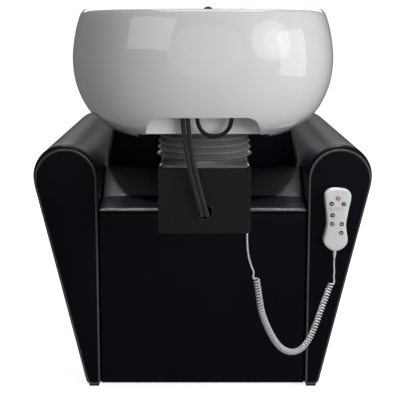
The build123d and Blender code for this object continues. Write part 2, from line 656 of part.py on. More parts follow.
gland_hole = rod((0, CORD_Y, -80), (0, CORD_Y, -70), 4.0)
add("handset_front", turned(front - gland_hole))
add("handset_back", turned(back - gland_hole))
for name, (u, v) in BUTTONS.items():
    cap = rod((u, HANDSET_FACE - 1.4, v), (u, HANDSET_FACE + 5.5, v), BUTTON_R)
    add(name, turned(cap))
relief = Pos(0, CORD_Y, -86.5) * Cone(3.0, 4.4, 15) + rod((0, CORD_Y, -79), (0, CORD_Y, -70), 4.0)
add("strain_relief", turned(relief))
clip = block(-16, 16, -223.5, -220, -60, -8) + block(-11.5, 11.5, -230.8, -223.5, -46, -42)
clip = clip + block(-11.5, 11.5, -230.8, -228.2, -46, -17)
add("handset_clip", turned(clip))

# ---------------------------------------------------------------- handset cord
turn = math.radians(HANDSET_TURN)


def below_handset(drop):
    """A point on the handset's centre line, this far below its middle."""
    return (HX - drop * math.sin(turn), CORD_Y, HZ - drop * math.cos(turn))


COIL_ROUTE = [(118, -472, 349), (121.5, -469.4, 330), (125.5, -466, 304), (131, -460, 268), (142, -448, 235),
              (160, -429, 194), (181, -406, 161), (207.5, -377, 141), (235, -348, 140), (255, -327, 158),
              (272, -308, 189), (287, -291, 225), (301, -276, 256), (314, -263, 283)]
LEAD_ROUTE = [(97, -488, 455), (97, -488, 431), (99, -486.8, 407), (103.5, -483.2, 386), (109.5, -478.8, 369),
              (115, -474.6, 358), (118, -472, 349)]
TAIL_ROUTE = [(314, -263, 283), (318, -259, 291.3), (322, -249, 303), below_handset(112), below_handset(94)]
add("handset_cord_lead", bent_tube(LEAD_ROUTE, CORD_D, "handset_cord_lead"))
add("handset_cord_coil", bent_tube(COIL_ROUTE, COIL_D, "handset_cord_coil"))
add("handset_cord_tail", bent_tube(TAIL_ROUTE, CORD_D, "handset_cord_tail"))

if __name__ == "__main__":
    everything = Compound(list(NODES.values())).bounding_box()
    print(len(NODES), "nodes, box", everything.min, everything.max)
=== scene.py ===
"""Looks of a shampoo backwash unit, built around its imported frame.

The unit is an upholstered armchair with a leg rest, and a tilting ceramic basin that beams carry behind it.
Lengths are metres, +Z is up, +Y is the front of the seat and -Y is the basin.
"""

from __future__ import annotations

import json
import logging
import math
from dataclasses import dataclass, field
from enum import Enum
from typing import Callable, Sequence, Union

import bmesh
import bpy
from mathutils import Matrix, Vector
from mathutils.kdtree import KDTree

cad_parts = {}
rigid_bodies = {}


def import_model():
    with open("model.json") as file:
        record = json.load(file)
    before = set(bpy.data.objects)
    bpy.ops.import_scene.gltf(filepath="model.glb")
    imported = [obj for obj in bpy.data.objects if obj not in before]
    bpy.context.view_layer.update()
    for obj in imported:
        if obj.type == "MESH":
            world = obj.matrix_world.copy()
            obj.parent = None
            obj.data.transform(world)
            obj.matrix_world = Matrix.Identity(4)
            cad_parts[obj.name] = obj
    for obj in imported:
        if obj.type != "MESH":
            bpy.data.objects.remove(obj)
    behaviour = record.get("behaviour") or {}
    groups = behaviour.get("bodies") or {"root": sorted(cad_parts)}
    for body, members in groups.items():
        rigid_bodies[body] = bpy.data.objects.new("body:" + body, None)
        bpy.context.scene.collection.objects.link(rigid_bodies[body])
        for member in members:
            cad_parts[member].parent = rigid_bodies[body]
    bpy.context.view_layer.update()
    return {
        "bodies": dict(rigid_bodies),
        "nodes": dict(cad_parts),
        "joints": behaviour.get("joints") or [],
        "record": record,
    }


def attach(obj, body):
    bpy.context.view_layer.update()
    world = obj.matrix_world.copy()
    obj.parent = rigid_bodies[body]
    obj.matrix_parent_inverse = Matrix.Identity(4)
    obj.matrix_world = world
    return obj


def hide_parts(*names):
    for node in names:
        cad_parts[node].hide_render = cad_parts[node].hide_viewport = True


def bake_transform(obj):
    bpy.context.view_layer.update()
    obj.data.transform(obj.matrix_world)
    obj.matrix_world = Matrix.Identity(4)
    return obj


LOG = logging.getLogger("backwash")
MM = 0.001
SIM_FRAMES = 20
Point = tuple[float, float, float]
Number = Union["Signal", float, int]


# ---------------------------------------------------------------- shader maths
class Signal:
    """A socket that takes part in Python expressions."""

    def __init__(self, shade: "Shade", socket: bpy.types.NodeSocket) -> None:
        """Wrap a socket of a shade."""
        self.shade = shade
        self.socket = socket

    def _math(self, operation: str, first: Number, second: Number = 0.0) -> "Signal":
        """Add a Math node for two values."""
        return self.shade.node("ShaderNodeMath", {"operation": operation}, {0: first, 1: second})

    def __add__(self, other: Number) -> "Signal":
        """Sum."""
        return self._math("ADD", self, other)

    __radd__ = __add__

    def __mul__(self, other: Number) -> "Signal":
        """Product."""
        return self._math("MULTIPLY", self, other)

    __rmul__ = __mul__

    def __sub__(self, other: Number) -> "Signal":
        """Difference."""
        return self._math("SUBTRACT", self, other)

    def __rsub__(self, other: Number) -> "Signal":
        """Reflected difference."""
        return self._math("SUBTRACT", other, self)

    def __pow__(self, other: Number) -> "Signal":
        """Power."""
        return self._math("POWER", self, other)

    def sine(self) -> "Signal":
        """Sine of the value."""
        return self._math("SINE", self)

    def size(self) -> "Signal":
        """Absolute value."""
        return self._math("ABSOLUTE", self)

    def within(self, low: float, high: float) -> "Signal":
        """A smooth step from 0 at low to 1 at high.

        Args:
            low: the value that gives 0.
            high: the value that gives 1.

        Returns:
            The step.
        """
        settings = {"interpolation_type": "SMOOTHSTEP"}
        return self.shade.node("ShaderNodeMapRange", settings, {"Value": self, "From Min": low, "From Max": high},
                               "Result")


class Shade:
    """A material's node tree."""

    def __init__(self, name: str) -> None:
        """Start an empty material with its output.

        Args:
            name: the material's name.
        """
        self.material = bpy.data.materials.new(name)
        self.material.use_nodes = True
        self.tree = self.material.node_tree
        self.tree.nodes.clear()
        self.output = self.tree.nodes.new("ShaderNodeOutputMaterial")

    def node(self, kind: str, settings: dict | None = None, sockets: dict | None = None,
             out: str | int = 0) -> Signal:
        """Make a node.

        Args:
            kind: the node's type.
            settings: attributes that are set before its sockets.
            sockets: values or links of its inputs, by name or number.
            out: the output that is returned.

        Returns:
            The chosen output.
        """
        made = self.tree.nodes.new(kind)
        for key, value in (settings or {}).items():
            if key == "stops":
                self._set_stops(made, value)
            else:
                setattr(made, key, value)
        for key, value in (sockets or {}).items():
            if isinstance(value, Signal):
                self.tree.links.new(value.socket, made.inputs[key])
            else:
                made.inputs[key].default_value = value
        return Signal(self, made.outputs[out])

    @staticmethod
    def _set_stops(made: bpy.types.Node, stops: Sequence[tuple[float, Sequence[float]]]) -> None:
        """Give a ramp its stops.

        Args:
            made: the ramp node.
            stops: the place and the colour of each stop.
        """
        ramp = made.color_ramp
        while len(ramp.elements) < len(stops):
            ramp.elements.new(0.5)
        for element, (at, colour) in zip(ramp.elements, stops):
            element.position = at
            element.color = colour

    def place(self) -> Signal:
        """The object's own coordinates, in metres."""
        return self.node("ShaderNodeTexCoord", out="Object")

    def surface(self) -> Signal:
        """The piece's own UV map."""
        return self.node("ShaderNodeTexCoord", out="UV")

    def noise(self, scale: float, detail: float = 2.0, at: Signal | None = None, rough: float = 0.5) -> Signal:
        """A noise value at a scale in cycles per metre."""
        sockets = {"Vector": at or self.place(), "Scale": scale, "Detail": detail, "Roughness": rough}
        return self.node("ShaderNodeTexNoise", {}, sockets, "Fac")

    def cells(self, scale: float, feature: str = "DISTANCE_TO_EDGE", at: Signal | None = None) -> Signal:
        """A cell pattern at a scale in cells per metre."""
        return self.node("ShaderNodeTexVoronoi", {"feature": feature}, {"Vector": at or self.place(), "Scale": scale},
                         "Distance")

    def mix(self, share: Number, low: Sequence[float] | Signal, high: Sequence[float] | Signal) -> Signal:
        """Blend two colours.

        Args:
            share: how much of the second colour.
            low: the colour at 0.
            high: the colour at 1.

        Returns:
            The blended colour.
        """
        made = self.tree.nodes.new("ShaderNodeMix")
        made.data_type = "RGBA"
        for index, value in ((0, share), (6, low), (7, high)):
            if isinstance(value, Signal):
                self.tree.links.new(value.socket, made.inputs[index])
            else:
                made.inputs[index].default_value = value
        return Signal(self, made.outputs[2])

    def bump(self, height: Signal, depth: float, strength: float = 1.0, below: Signal | None = None) -> Signal:
        """A normal from a height value, where 1 stands for a depth in metres.

        Args:
            height: the height value.
            depth: what a height of 1 stands for.
            strength: how strongly it shows.
            below: a normal that it goes on top of.

        Returns:
            The normal.
        """
        sockets = {"Height": height, "Distance": depth, "Strength": strength}
        if below is not None:
            sockets["Normal"] = below
        return self.node("ShaderNodeBump", {}, sockets, "Normal")

    def finish(self, **sockets: Number | Sequence[float]) -> bpy.types.Material:
        """Close the material with a Principled shader.

        Args:
            **sockets: inputs of the shader, with underscores for spaces.

        Returns:
            The finished material.
        """
        named = {key.replace("_", " "): value for key, value in sockets.items()}
        shader = self.node("ShaderNodeBsdfPrincipled", {}, named, "BSDF")
        self.tree.links.new(shader.socket, self.output.inputs["Surface"])
        return self.material


def rgb(red: float, green: float, blue: float) -> tuple[float, float, float, float]:
    """A colour with full alpha."""
    return (red, green, blue, 1.0)


# ---------------------------------------------------------------- finishes
@dataclass(frozen=True)
class Leatherette:
    """Coated upholstery cloth with a pebbled grain."""

    name: str
    colour: tuple[float, float, float] = (0.0022, 0.0033, 0.0068)
    cell: float = 0.0011
    roughness: float = 0.31

    def build(self) -> bpy.types.Material:
        """Make the material.

        Returns:
            The material.
        """
        shade = Shade(self.name)
        wobble = shade.noise(1 / (self.cell * 3), 2.0)
        warped = shade.node("ShaderNodeVectorMath", {"operation": "MULTIPLY_ADD"},
                            {0: shade.node("ShaderNodeCombineXYZ", {}, {0: wobble, 1: wobble, 2: wobble}),
                             1: (self.cell, self.cell, self.cell), 2: shade.place()})
        pebbles = shade.cells(1 / self.cell, at=warped).within(0.0, 0.22)
        fine = shade.noise(2200.0, 3.0)
        broad = shade.noise(7.0, 3.0)
        height = pebbles * 0.75 + fine * 0.25
        dark, light = rgb(*(0.72 * c for c in self.colour)), rgb(*(1.3 * c for c in self.colour))
        colour = shade.mix(pebbles * 0.55 + broad * 0.45, dark, light)
        rough = self.roughness + 0.10 * (1.0 - pebbles) + 0.10 * (broad - 0.5)
        creases = shade.noise(26.0, 2.0)
        soft = shade.bump(creases, 0.0009, 0.35)
        return shade.finish(Base_Color=colour, Roughness=rough, Normal=shade.bump(height, 0.00010, 0.55, soft),
                            Specular_IOR_Level=0.14)


@dataclass(frozen=True)
class GlazedCeramic:
    """White vitreous china under a clear glaze."""

    name: str
    colour: tuple[float, float, float] = (0.80, 0.81, 0.82)

    def build(self) -> bpy.types.Material:
        """Make the material.

        Returns:
            The material.
        """
        shade = Shade(self.name)
        broad = shade.noise(9.0, 2.0)
        specks = shade.noise(1500.0, 1.0).within(0.74, 0.80)
        tint = shade.mix(broad, rgb(*(0.975 * c for c in self.colour)), rgb(*self.colour))
        colour = shade.mix(specks * 0.06, tint, rgb(0.5, 0.48, 0.45))
        ripple = shade.noise(38.0, 1.0)
        rough = 0.045 + 0.03 * broad
        return shade.finish(Base_Color=colour, Roughness=rough, Normal=shade.bump(ripple, 0.00016, 0.35),
                            IOR=1.52, Coat_Weight=1.0, Coat_Roughness=0.02)


@dataclass(frozen=True)
class MouldedPlastic:
    """Injection-moulded plastic with a spark-eroded or polished skin."""

    name: str
    colour: tuple[float, float, float]
    roughness: float = 0.45
    texture: float = 0.00004
    coat: float = 0.0
    specular: float = 0.5

    def build(self) -> bpy.types.Material:
        """Make the material.

        Returns:
            The material.
        """
        shade = Shade(self.name)
        grain = shade.noise(1700.0, 2.0)
        broad = shade.noise(14.0, 3.0)
        colour = shade.mix(broad, rgb(*(0.88 * c for c in self.colour)), rgb(*(min(1.1 * c, 1.0) for c in self.colour)))
        rough = self.roughness + 0.08 * (grain - 0.5) + 0.06 * (broad - 0.5)
        return shade.finish(Base_Color=colour, Roughness=rough, Normal=shade.bump(grain, self.texture, 0.5),
                            Coat_Weight=self.coat, Coat_Roughness=0.08, Specular_IOR_Level=self.specular)


@dataclass(frozen=True)
class Metal:
    """Bare or plated metal with fine marks."""

    name: str
    colour: tuple[float, float, float]
    roughness: float = 0.12
    marks: float = 0.1

    def build(self) -> bpy.types.Material:
        """Make the material.

        Returns:
            The material.
        """
        shade = Shade(self.name)
        smear = shade.noise(60.0, 3.0)
        scratches = shade.noise(900.0, 2.0)
        rough = self.roughness + self.marks * (smear - 0.45) * 0.5 + self.marks * scratches * 0.2
        colour = shade.mix(smear, rgb(*(0.93 * c for c in self.colour)), rgb(*self.colour))
        return shade.finish(Base_Color=colour, Metallic=1.0, Roughness=rough,
                            Normal=shade.bump(scratches, 0.00001, 0.3))


@dataclass(frozen=True)
class PowderCoat:
    """Painted steel with the slight orange peel of baked powder."""

    name: str
    colour: tuple[float, float, float]
    roughness: float = 0.38

    def build(self) -> bpy.types.Material:
        """Make the material.

        Returns:
            The material.
        """
        shade = Shade(self.name)
        peel = shade.noise(700.0, 1.0)
        dust = shade.noise(18.0, 4.0).within(0.45, 0.8)
        colour = shade.mix(dust * 0.25, rgb(*self.colour), rgb(*(1.8 * c + 0.01 for c in self.colour)))
        return shade.finish(Base_Color=colour, Roughness=self.roughness + 0.18 * dust,
                            Normal=shade.bump(peel, 0.00006, 0.5))


@dataclass(frozen=True)
class Plywood:
    """Birch plywood board."""

    name: str

    def build(self) -> bpy.types.Material:
        """Make the material.

        Returns:
            The material.
        """
        shade = Shade(self.name)
        stretched = shade.node("ShaderNodeMapping", {}, {"Vector": shade.place(), "Scale": (1.0, 16.0, 16.0)})
        grain = shade.noise(9.0, 5.0, stretched)
        colour = shade.mix(grain.within(0.3, 0.7), rgb(0.30, 0.19, 0.10), rgb(0.52, 0.37, 0.22))
        return shade.finish(Base_Color=colour, Roughness=0.55 + 0.2 * grain, Normal=shade.bump(grain, 0.0002, 0.4))


@dataclass(frozen=True)
class Braid:
    """A braided sleeve, with painted shade in the gaps between strands and a painted highlight on their crowns. Its
    pattern follows the hose: u runs round it and v along it in metres.
    """

    name: str
    colour: tuple[float, float, float] = (0.012, 0.012, 0.014)
    strands: int = 8
    pitch: float = 0.0085

    def build(self) -> bpy.types.Material:
        """Make the material.

        Returns:
            The material.
        """
        shade = Shade(self.name)
        parts = shade.node("ShaderNodeSeparateXYZ", {}, {0: shade.surface()}, 0)
        across = parts * (math.tau * self.strands / 2)
        along = Signal(shade, parts.socket.node.outputs[1]) * (math.pi / self.pitch)
        one, other = (across + along).sine(), (across - along).sine()
        weave = (one * other).size() ** 0.6
        thread = shade.noise(2600.0, 2.0)
        # Painted shade and highlight: the weave's gaps are darkened and the strands' crowns lightened, as light falls
        # on them.
        painted_weave_light = shade.mix(weave, rgb(*(0.2 * c for c in self.colour)), rgb(*(3.2 * c for c in self.colour)))
        return shade.finish(Base_Color=painted_weave_light, Roughness=0.42 + 0.25 * thread,
                            Normal=shade.bump(weave * 0.85 + thread * 0.15, 0.0006, 0.8), Sheen_Weight=0.2)


class Slot(Enum):
    """The record's material slots."""

    UPHOLSTERY = "upholstery"
    CERAMIC = "ceramic"
    FRAME_STEEL = "frame_steel"
    BRACKET_STEEL = "bracket_steel"
    BOARD = "board"
    BLACK_PLASTIC = "black_plastic"
    BELLOWS_PLASTIC = "bellows_plastic"
    CHROME = "chrome_parts"
    ZINC = "zinc_fasteners"
    GREY_PLASTIC = "grey_plastic"
    BUTTON_BLACK = "button_black"
    BUTTON_RED = "button_red"
    HOSE_BRAID = "hose_braid"
    HOSE_RUBBER = "hose_rubber"
    DRAIN_PLASTIC = "drain_plastic"
    CORD_GREY = "cord_grey"
    GEL = "gel"
    ACTUATOR_PAINT = "actuator_paint"
    BRASS = "brass_fittings"


FINISHES = {
    Slot.UPHOLSTERY: Leatherette("leatherette"),
    Slot.CERAMIC: GlazedCeramic("glazed_ceramic"),
    Slot.FRAME_STEEL: PowderCoat("frame_powder", (0.02, 0.02, 0.022)),
    Slot.BRACKET_STEEL: PowderCoat("bracket_powder", (0.035, 0.035, 0.038)),
    Slot.BOARD: Plywood("plywood"),
    Slot.BLACK_PLASTIC: MouldedPlastic("black_plastic", (0.0065, 0.0065, 0.0068), 0.5, specular=0.36),
    Slot.BELLOWS_PLASTIC: MouldedPlastic("bellows_plastic", (0.135, 0.136, 0.138), 0.16, 0.00001, 0.9),
    Slot.CHROME: Metal("chrome", (0.86, 0.87, 0.88), 0.05, 0.06),
    Slot.ZINC: Metal("zinc", (0.62, 0.63, 0.65), 0.28, 0.2),
    Slot.GREY_PLASTIC: MouldedPlastic("grey_plastic", (0.80, 0.82, 0.815), 0.34),
    Slot.BUTTON_BLACK: MouldedPlastic("button_black", (0.006, 0.006, 0.007), 0.4, specular=0.3),
    Slot.BUTTON_RED: MouldedPlastic("button_red", (0.42, 0.018, 0.028), 0.35),
    Slot.HOSE_BRAID: Braid("hose_braid"),
    Slot.HOSE_RUBBER: MouldedPlastic("hose_rubber", (0.008, 0.008, 0.009), 0.3, 0.00002),
    Slot.DRAIN_PLASTIC: MouldedPlastic("drain_plastic", (0.25, 0.26, 0.28), 0.5),
    Slot.CORD_GREY: MouldedPlastic("cord_grey", (0.68, 0.69, 0.70), 0.33, 0.00001),
    Slot.GEL: MouldedPlastic("gel_rubber", (0.012, 0.012, 0.013), 0.42, 0.00003),
    Slot.ACTUATOR_PAINT: PowderCoat("actuator_paint", (0.11, 0.11, 0.12)),
    Slot.BRASS: Metal("plated_brass", (0.72, 0.66, 0.52), 0.2, 0.15),
}


class Finishes:
    """The materials, each made once."""

    def __init__(self) -> None:
        """Start with none made."""
        self.made: dict[Slot, bpy.types.Material] = {}
        self.bead: bpy.types.Material | None = None

    def get(self, slot: Slot) -> bpy.types.Material:
        """The material of a slot.

        Args:
            slot: the record's material slot.

        Returns:
            The material, made once.
        """
        if slot not in self.made:
            self.made[slot] = FINISHES[slot].build()
        return self.made[slot]

    def piping(self) -> bpy.types.Material:
        """The finish of the piping, paler than the covers: a painted highlight for the light line that the round beads
        catch.

        Returns:
            The material.
        """
        if self.bead is None:
            # Painted highlight: pale leatherette for the light line that the round beads catch.
            self.bead = Leatherette("piping", (0.085, 0.084, 0.082), 0.0006, 0.34).build()
        return self.bead

    def dress(self, piece: bpy.types.Object, slot: Slot, body: str, *nodes: str) -> bpy.types.Object:
        """Give a piece its material and body, and hide the nodes that it stands for.

        Args:
            piece: the new piece.
            slot: its material slot.
            body: the body that it rides on.
            *nodes: the nodes that it replaces.

        Returns:
            The piece.
        """
        piece.data.materials.clear()
        piece.data.materials.append(self.get(slot))
        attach(piece, body)
        if nodes:
            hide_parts(*nodes)
        return piece


# ---------------------------------------------------------------- modelling helpers
def deselect() -> None:
    """Leave nothing selected, in object mode."""
    if bpy.context.object and bpy.context.object.mode != "OBJECT":
        bpy.ops.object.mode_set(mode="OBJECT")
    bpy.ops.object.select_all(action="DESELECT")


def activate(piece: bpy.types.Object) -> None:
    """Make a piece the only selected one.

    Args:
        piece: the object to select.
    """
    deselect()
    piece.select_set(True)
    bpy.context.view_layer.objects.active = piece


def settle(piece: bpy.types.Object) -> bpy.types.Object:
    """Put a piece's place into its mesh.

    Args:
        piece: the object to settle.

    Returns:
        The piece.
    """
    activate(piece)
    bpy.ops.object.transform_apply(location=True, rotation=True, scale=True)
    return piece


def modify(piece: bpy.types.Object, kind: str, **settings: object) -> bpy.types.Object:
    """Add a modifier and apply it.

    Args:
        piece: the mesh to change.
        kind: the modifier's type.
        **settings: its attributes.

    Returns:
        The piece.
    """
    activate(piece)
    modifier = piece.modifiers.new(kind.lower(), kind)
    for key, value in settings.items():
        setattr(modifier, key, value)
    bpy.ops.object.modifier_apply(modifier=modifier.name)
    return piece


def subdivide(piece: bpy.types.Object, levels: int) -> bpy.types.Object:
    """Apply a subdivision surface."""
    return modify(piece, "SUBSURF", levels=levels, render_levels=levels)


def smooth(piece: bpy.types.Object, angle: float = 40.0) -> bpy.types.Object:
    """Shade smooth, with creases sharper than an angle in degrees left hard.

    Args:
        piece: the mesh object.
        angle: the sharpest smooth crease, in degrees.

    Returns:
        The piece.
    """
    activate(piece)
    bpy.ops.object.shade_smooth_by_angle(angle=math.radians(angle))
    return piece


def outward(piece: bpy.types.Object) -> bpy.types.Object:
    """Merge doubles and point the faces outwards.

    Args:
        piece: the mesh object.

    Returns:
        The piece.
    """
    activate(piece)
    bpy.ops.object.mode_set(mode="EDIT")
    bpy.ops.mesh.select_all(action="SELECT")
    bpy.ops.mesh.remove_doubles(threshold=1e-5)
    bpy.ops.mesh.normals_make_consistent(inside=False)
    bpy.ops.object.mode_set(mode="OBJECT")
    return piece


def brick(name: str, low: Point, high: Point, rounding: float = 0.0, segments: int = 3) -> bpy.types.Object:
    """A cube primitive between two corners, with bevelled edges.

    Args:
        name: the piece's name.
        low: its lowest corner.
        high: its highest corner.
        rounding: the bevel's width, or 0 for none.
        segments: the bevel's segments.

    Returns:
        The piece.
    """
    deselect()
    middle = [(a + b) / 2 for a, b in zip(low, high)]
    bpy.ops.mesh.primitive_cube_add(size=1.0, location=middle)
    piece = bpy.context.object
    piece.name = piece.data.name = name
    piece.scale = [b - a for a, b in zip(low, high)]
    settle(piece)
    if rounding:
        modify(piece, "BEVEL", width=rounding, segments=segments, limit_method="NONE")
    return piece


def loft(name: str, rings: Sequence[Sequence[Point]], caps: bool = True, ring_closed: bool = False) -> bpy.types.Object:
    """A skin over closed rings, extruded ring by ring from a circle primitive.

    Args:
        name: the piece's name.
        rings: closed rings with the same number of points.
        caps: True fills the first and the last ring.
        ring_closed: True joins the last ring to the first.

    Returns:
        The piece, with outward faces.
    """
    count = len(rings[0])
    deselect()
    bpy.ops.mesh.primitive_circle_add(vertices=count, radius=1.0)
    piece = bpy.context.object
    piece.name = piece.data.name = name
    settle(piece)
    bpy.ops.object.mode_set(mode="EDIT")
    mesh = bmesh.from_edit_mesh(piece.data)
    column = mesh.verts.layers.int.new("column")
    level = mesh.verts.layers.int.new("level")
    for vertex in mesh.verts:
        vertex[column] = vertex.index
        vertex.co = rings[0][vertex.index]
    for number, ring in enumerate(rings[1:], 1):
        bmesh.update_edit_mesh(piece.data)
        bpy.ops.mesh.extrude_edges_move()
        mesh = bmesh.from_edit_mesh(piece.data)
        column, level = mesh.verts.layers.int["column"], mesh.verts.layers.int["level"]
        for vertex in mesh.verts:
            if vertex.select:
                vertex.co = ring[vertex[column]]
                vertex[level] = number
    first, last = ([v for v in mesh.verts if v[level] == number] for number in (0, len(rings) - 1))
    for end in (first, last):
        end.sort(key=lambda v: v[column])
    if ring_closed:
        for index in range(count):
            ahead = (index + 1) % count
            mesh.faces.new((last[index], last[ahead], first[ahead], first[index]))
    elif caps:
        mesh.faces.new(first)
        mesh.faces.new(last)
    mesh.verts.layers.int.remove(mesh.verts.layers.int["column"])
    mesh.verts.layers.int.remove(mesh.verts.layers.int["level"])
    bmesh.update_edit_mesh(piece.data)
    bpy.ops.object.mode_set(mode="OBJECT")
    return outward(piece)


def circle_ring(centre: Point, radius: float, count: int, squash_y: float = 1.0) -> list[Point]:
    """A level ring of points round a centre.

    Args:
        centre: the middle of the ring.
        radius: its radius.
        count: how many points.
        squash_y: its depth as a share of its width.

    Returns:
        The points.
    """
    x, y, z = centre
    return [(x + radius * math.cos(math.tau * i / count), y + squash_y * radius * math.sin(math.tau * i / count), z)
            for i in range(count)]


def lathe(name: str, centre: tuple[float, float], profile: Sequence[tuple[float, float]], count: int = 48,
          caps: bool = True) -> bpy.types.Object:
    """A turned piece on an upright axis.

    Args:
        name: the piece's name.
        centre: the axis's x and y.
        profile: radius and height of each ring.
        count: points round the axis.
        caps: True closes both ends.

    Returns:
        The piece.
    """
    rings = [circle_ring((*centre, z), r, count) for r, z in profile]
    return loft(name, rings, caps)


def spline_points(route: Sequence[Point], per_point: int = 8) -> list[Vector]:
    """Points along the smooth NURBS line that has a route as its control points.

    Args:
        route: the control points.
        per_point: steps for each of them.

    Returns:
        The line's points.
    """
    data = bpy.data.curves.new("route", "CURVE")
    data.dimensions = "3D"
    line = data.splines.new("NURBS")
    line.points.add(len(route) - 1)
    for point, at in zip(line.points, route):
        point.co = (*at, 1.0)
    line.order_u = 3
    line.use_endpoint_u = True
    line.resolution_u = per_point
    holder = bpy.data.objects.new("route", data)
    bpy.context.scene.collection.objects.link(holder)
    bpy.context.view_layer.update()
    mesh = bpy.data.meshes.new_from_object(holder)
    points = [v.co.copy() for v in mesh.vertices]
    bpy.data.meshes.remove(mesh)
    bpy.data.objects.remove(holder)
    bpy.data.curves.remove(data)
    return points


def carried_frames(points: Sequence[Vector]) -> list[tuple[Vector, Vector]]:
    """Two directions across a line at each of its points, carried along without twist.

    Args:
        points: the line's points.

    Returns:
        Two unit directions for each point.
    """
    frames = []
    across = None
    for index in range(len(points)):
        ahead = points[min(index + 1, len(points) - 1)] - points[max(index - 1, 0)]
        ahead.normalize()
        if across is None:
            across = ahead.orthogonal().normalized()
        across = (across - across.dot(ahead) * ahead).normalized()
        frames.append((across.copy(), ahead.cross(across)))
    return frames


def tube(name: str, points: Sequence[Vector], radius: float, sides: int = 14) -> bpy.types.Object:
    """A round tube on a line. Its UV map has u round the tube and v along it in metres.

    Args:
        name: the piece's name.
        points: the line.
        radius: the tube's radius.
        sides: points round the tube.

    Returns:
        The piece.
    """
    verts, faces, uvs = [], [], []
    frames = carried_frames(points)
    run = [0.0]
    for a, b in zip(points, points[1:]):
        run.append(run[-1] + (b - a).length)
    for point, (one, other) in zip(points, frames):
        for side in range(sides):
            angle = math.tau * side / sides
            verts.append(point + radius * (math.cos(angle) * one + math.sin(angle) * other))
    for ring in range(len(points) - 1):
        for side in range(sides):
            ahead = (side + 1) % sides
            faces.append((ring * sides + side, ring * sides + ahead, (ring + 1) * sides + ahead,
                          (ring + 1) * sides + side))
            low, high = run[ring], run[ring + 1]
            uvs += [(side / sides, low), ((side + 1) / sides, low), ((side + 1) / sides, high), (side / sides, high)]
    faces.append(tuple(range(sides))[::-1])
    faces.append(tuple(range((len(points) - 1) * sides, len(points) * sides)))
    uvs += [(0.0, 0.0)] * (2 * sides)
    mesh = bpy.data.meshes.new(name)
    mesh.from_pydata([tuple(v) for v in verts], [], faces)
    layer = mesh.uv_layers.new(name="along")
    for loop, uv in zip(layer.data, uvs):
        loop.uv = uv
    piece = bpy.data.objects.new(name, mesh)
    bpy.context.scene.collection.objects.link(piece)
    return smooth(piece, 60.0)


def bead(name: str, outline: Sequence[Point], radius: float, sides: int = 10) -> bpy.types.Object:
    """A closed round bead along an outline.

    Args:
        name: the piece's name.
        outline: a closed outline in an upright plane.
        radius: the bead's radius.
        sides: points round the bead.

    Returns:
        The piece.
    """
    count = len(outline)
    rings = []
    for index, at in enumerate(outline):
        here = Vector(at)
        ahead = (Vector(outline[(index + 1) % count]) - Vector(outline[index - 1])).normalized()
        side = ahead.cross(Vector((0.0, 1.0, 0.0))).normalized()
        other = ahead.cross(side)
        rings.append([tuple(here + radius * (math.cos(math.tau * k / sides) * side
                                             + math.sin(math.tau * k / sides) * other)) for k in range(sides)])
    return smooth(loft(name, rings, ring_closed=True), 80.0)


def even_outline(corners: Sequence[tuple[float, float]], step: float) -> list[tuple[float, float]]:
    """Points at even steps round a closed outline of straight runs.

    Args:
        corners: the outline's corners.
        step: the distance between points.

    Returns:
        The points.
    """
    points = []
    for a, b in zip(corners, [*corners[1:], corners[0]]):
        span = math.dist(a, b)
        parts = max(1, round(span / step))
        points += [(a[0] + (b[0] - a[0]) * k / parts, a[1] + (b[1] - a[1]) * k / parts) for k in range(parts)]
    return points


class Axis(Enum):
    """The direction that a prism runs in."""

    X = "x"
    Y = "y"
    Z = "z"

    def point(self, at: float, a: float, b: float) -> Point:
        """A point at a distance along the axis, from its two coordinates across it.

        Args:
            at: the distance along the axis.
            a: the first coordinate across it.
            b: the second.

        Returns:
            The point.
        """
        if self is Axis.X:
            return (at, a, b)
        if self is Axis.Y:
            return (a, at, b)
        return (a, b, at)


Outline = list[tuple[float, float]]


def inset(outline: Outline, amount: float) -> Outline:
    """Move a closed outline inwards along the normals at its points.

    Args:
        outline: a closed outline.
        amount: how far it moves.

    Returns:
        The smaller outline.
    """
    count = len(outline)
    area = sum(a[0] * b[1] - b[0] * a[1] for a, b in zip(outline, [*outline[1:], outline[0]]))
    turn = 1.0 if area > 0 else -1.0
    moved = []
    for index, (a, b) in enumerate(outline):
        before, after = outline[index - 1], outline[(index + 1) % count]
        da, db = after[0] - before[0], after[1] - before[1]
        span = math.hypot(da, db) or 1.0
        moved.append((a - turn * amount * db / span, b + turn * amount * da / span))
    return moved


def rounded(corners: Sequence[tuple[float, float, float]], step: float = 0.012, arc: int = 6) -> Outline:
    """A closed outline of straight runs with rounded corners.

    Args:
        corners: each corner's two coordinates and its radius.
        step: the spacing of points on the runs.
        arc: the spans of each corner.

    Returns:
        The outline's points.
    """
    points: Outline = []
    count = len(corners)
    ends = []
    for index, (a, b, radius) in enumerate(corners):
        here = Vector((a, b))
        before = (Vector(corners[index - 1][:2]) - here).normalized()
        after = (Vector(corners[(index + 1) % count][:2]) - here).normalized()
        half = before.angle(after) / 2
        reach = radius / math.tan(half)
        ends.append((here + before * reach, here, here + after * reach))
    for index, (start, here, end) in enumerate(ends):
        for k in range(arc + 1):
            t = k / arc
            bend = start * (1 - t) ** 2 + here * 2 * t * (1 - t) + end * t**2
            points.append((bend.x, bend.y))
        ahead = ends[(index + 1) % count][0]
        parts = max(1, round((ahead - end).length / step))
        for k in range(1, parts):
            at = end.lerp(ahead, k / parts)
            points.append((at.x, at.y))
    return [p for i, p in enumerate(points) if math.dist(p, points[i - 1]) > 1e-5]


def middle_of(outline: Outline) -> tuple[float, float]:
    """The middle of an outline's box.

    Args:
        outline: a closed outline.

    Returns:
        The middle.
    """
    low = [min(p[i] for p in outline) for i in (0, 1)]
    high = [max(p[i] for p in outline) for i in (0, 1)]
    return ((low[0] + high[0]) / 2, (low[1] + high[1]) / 2)


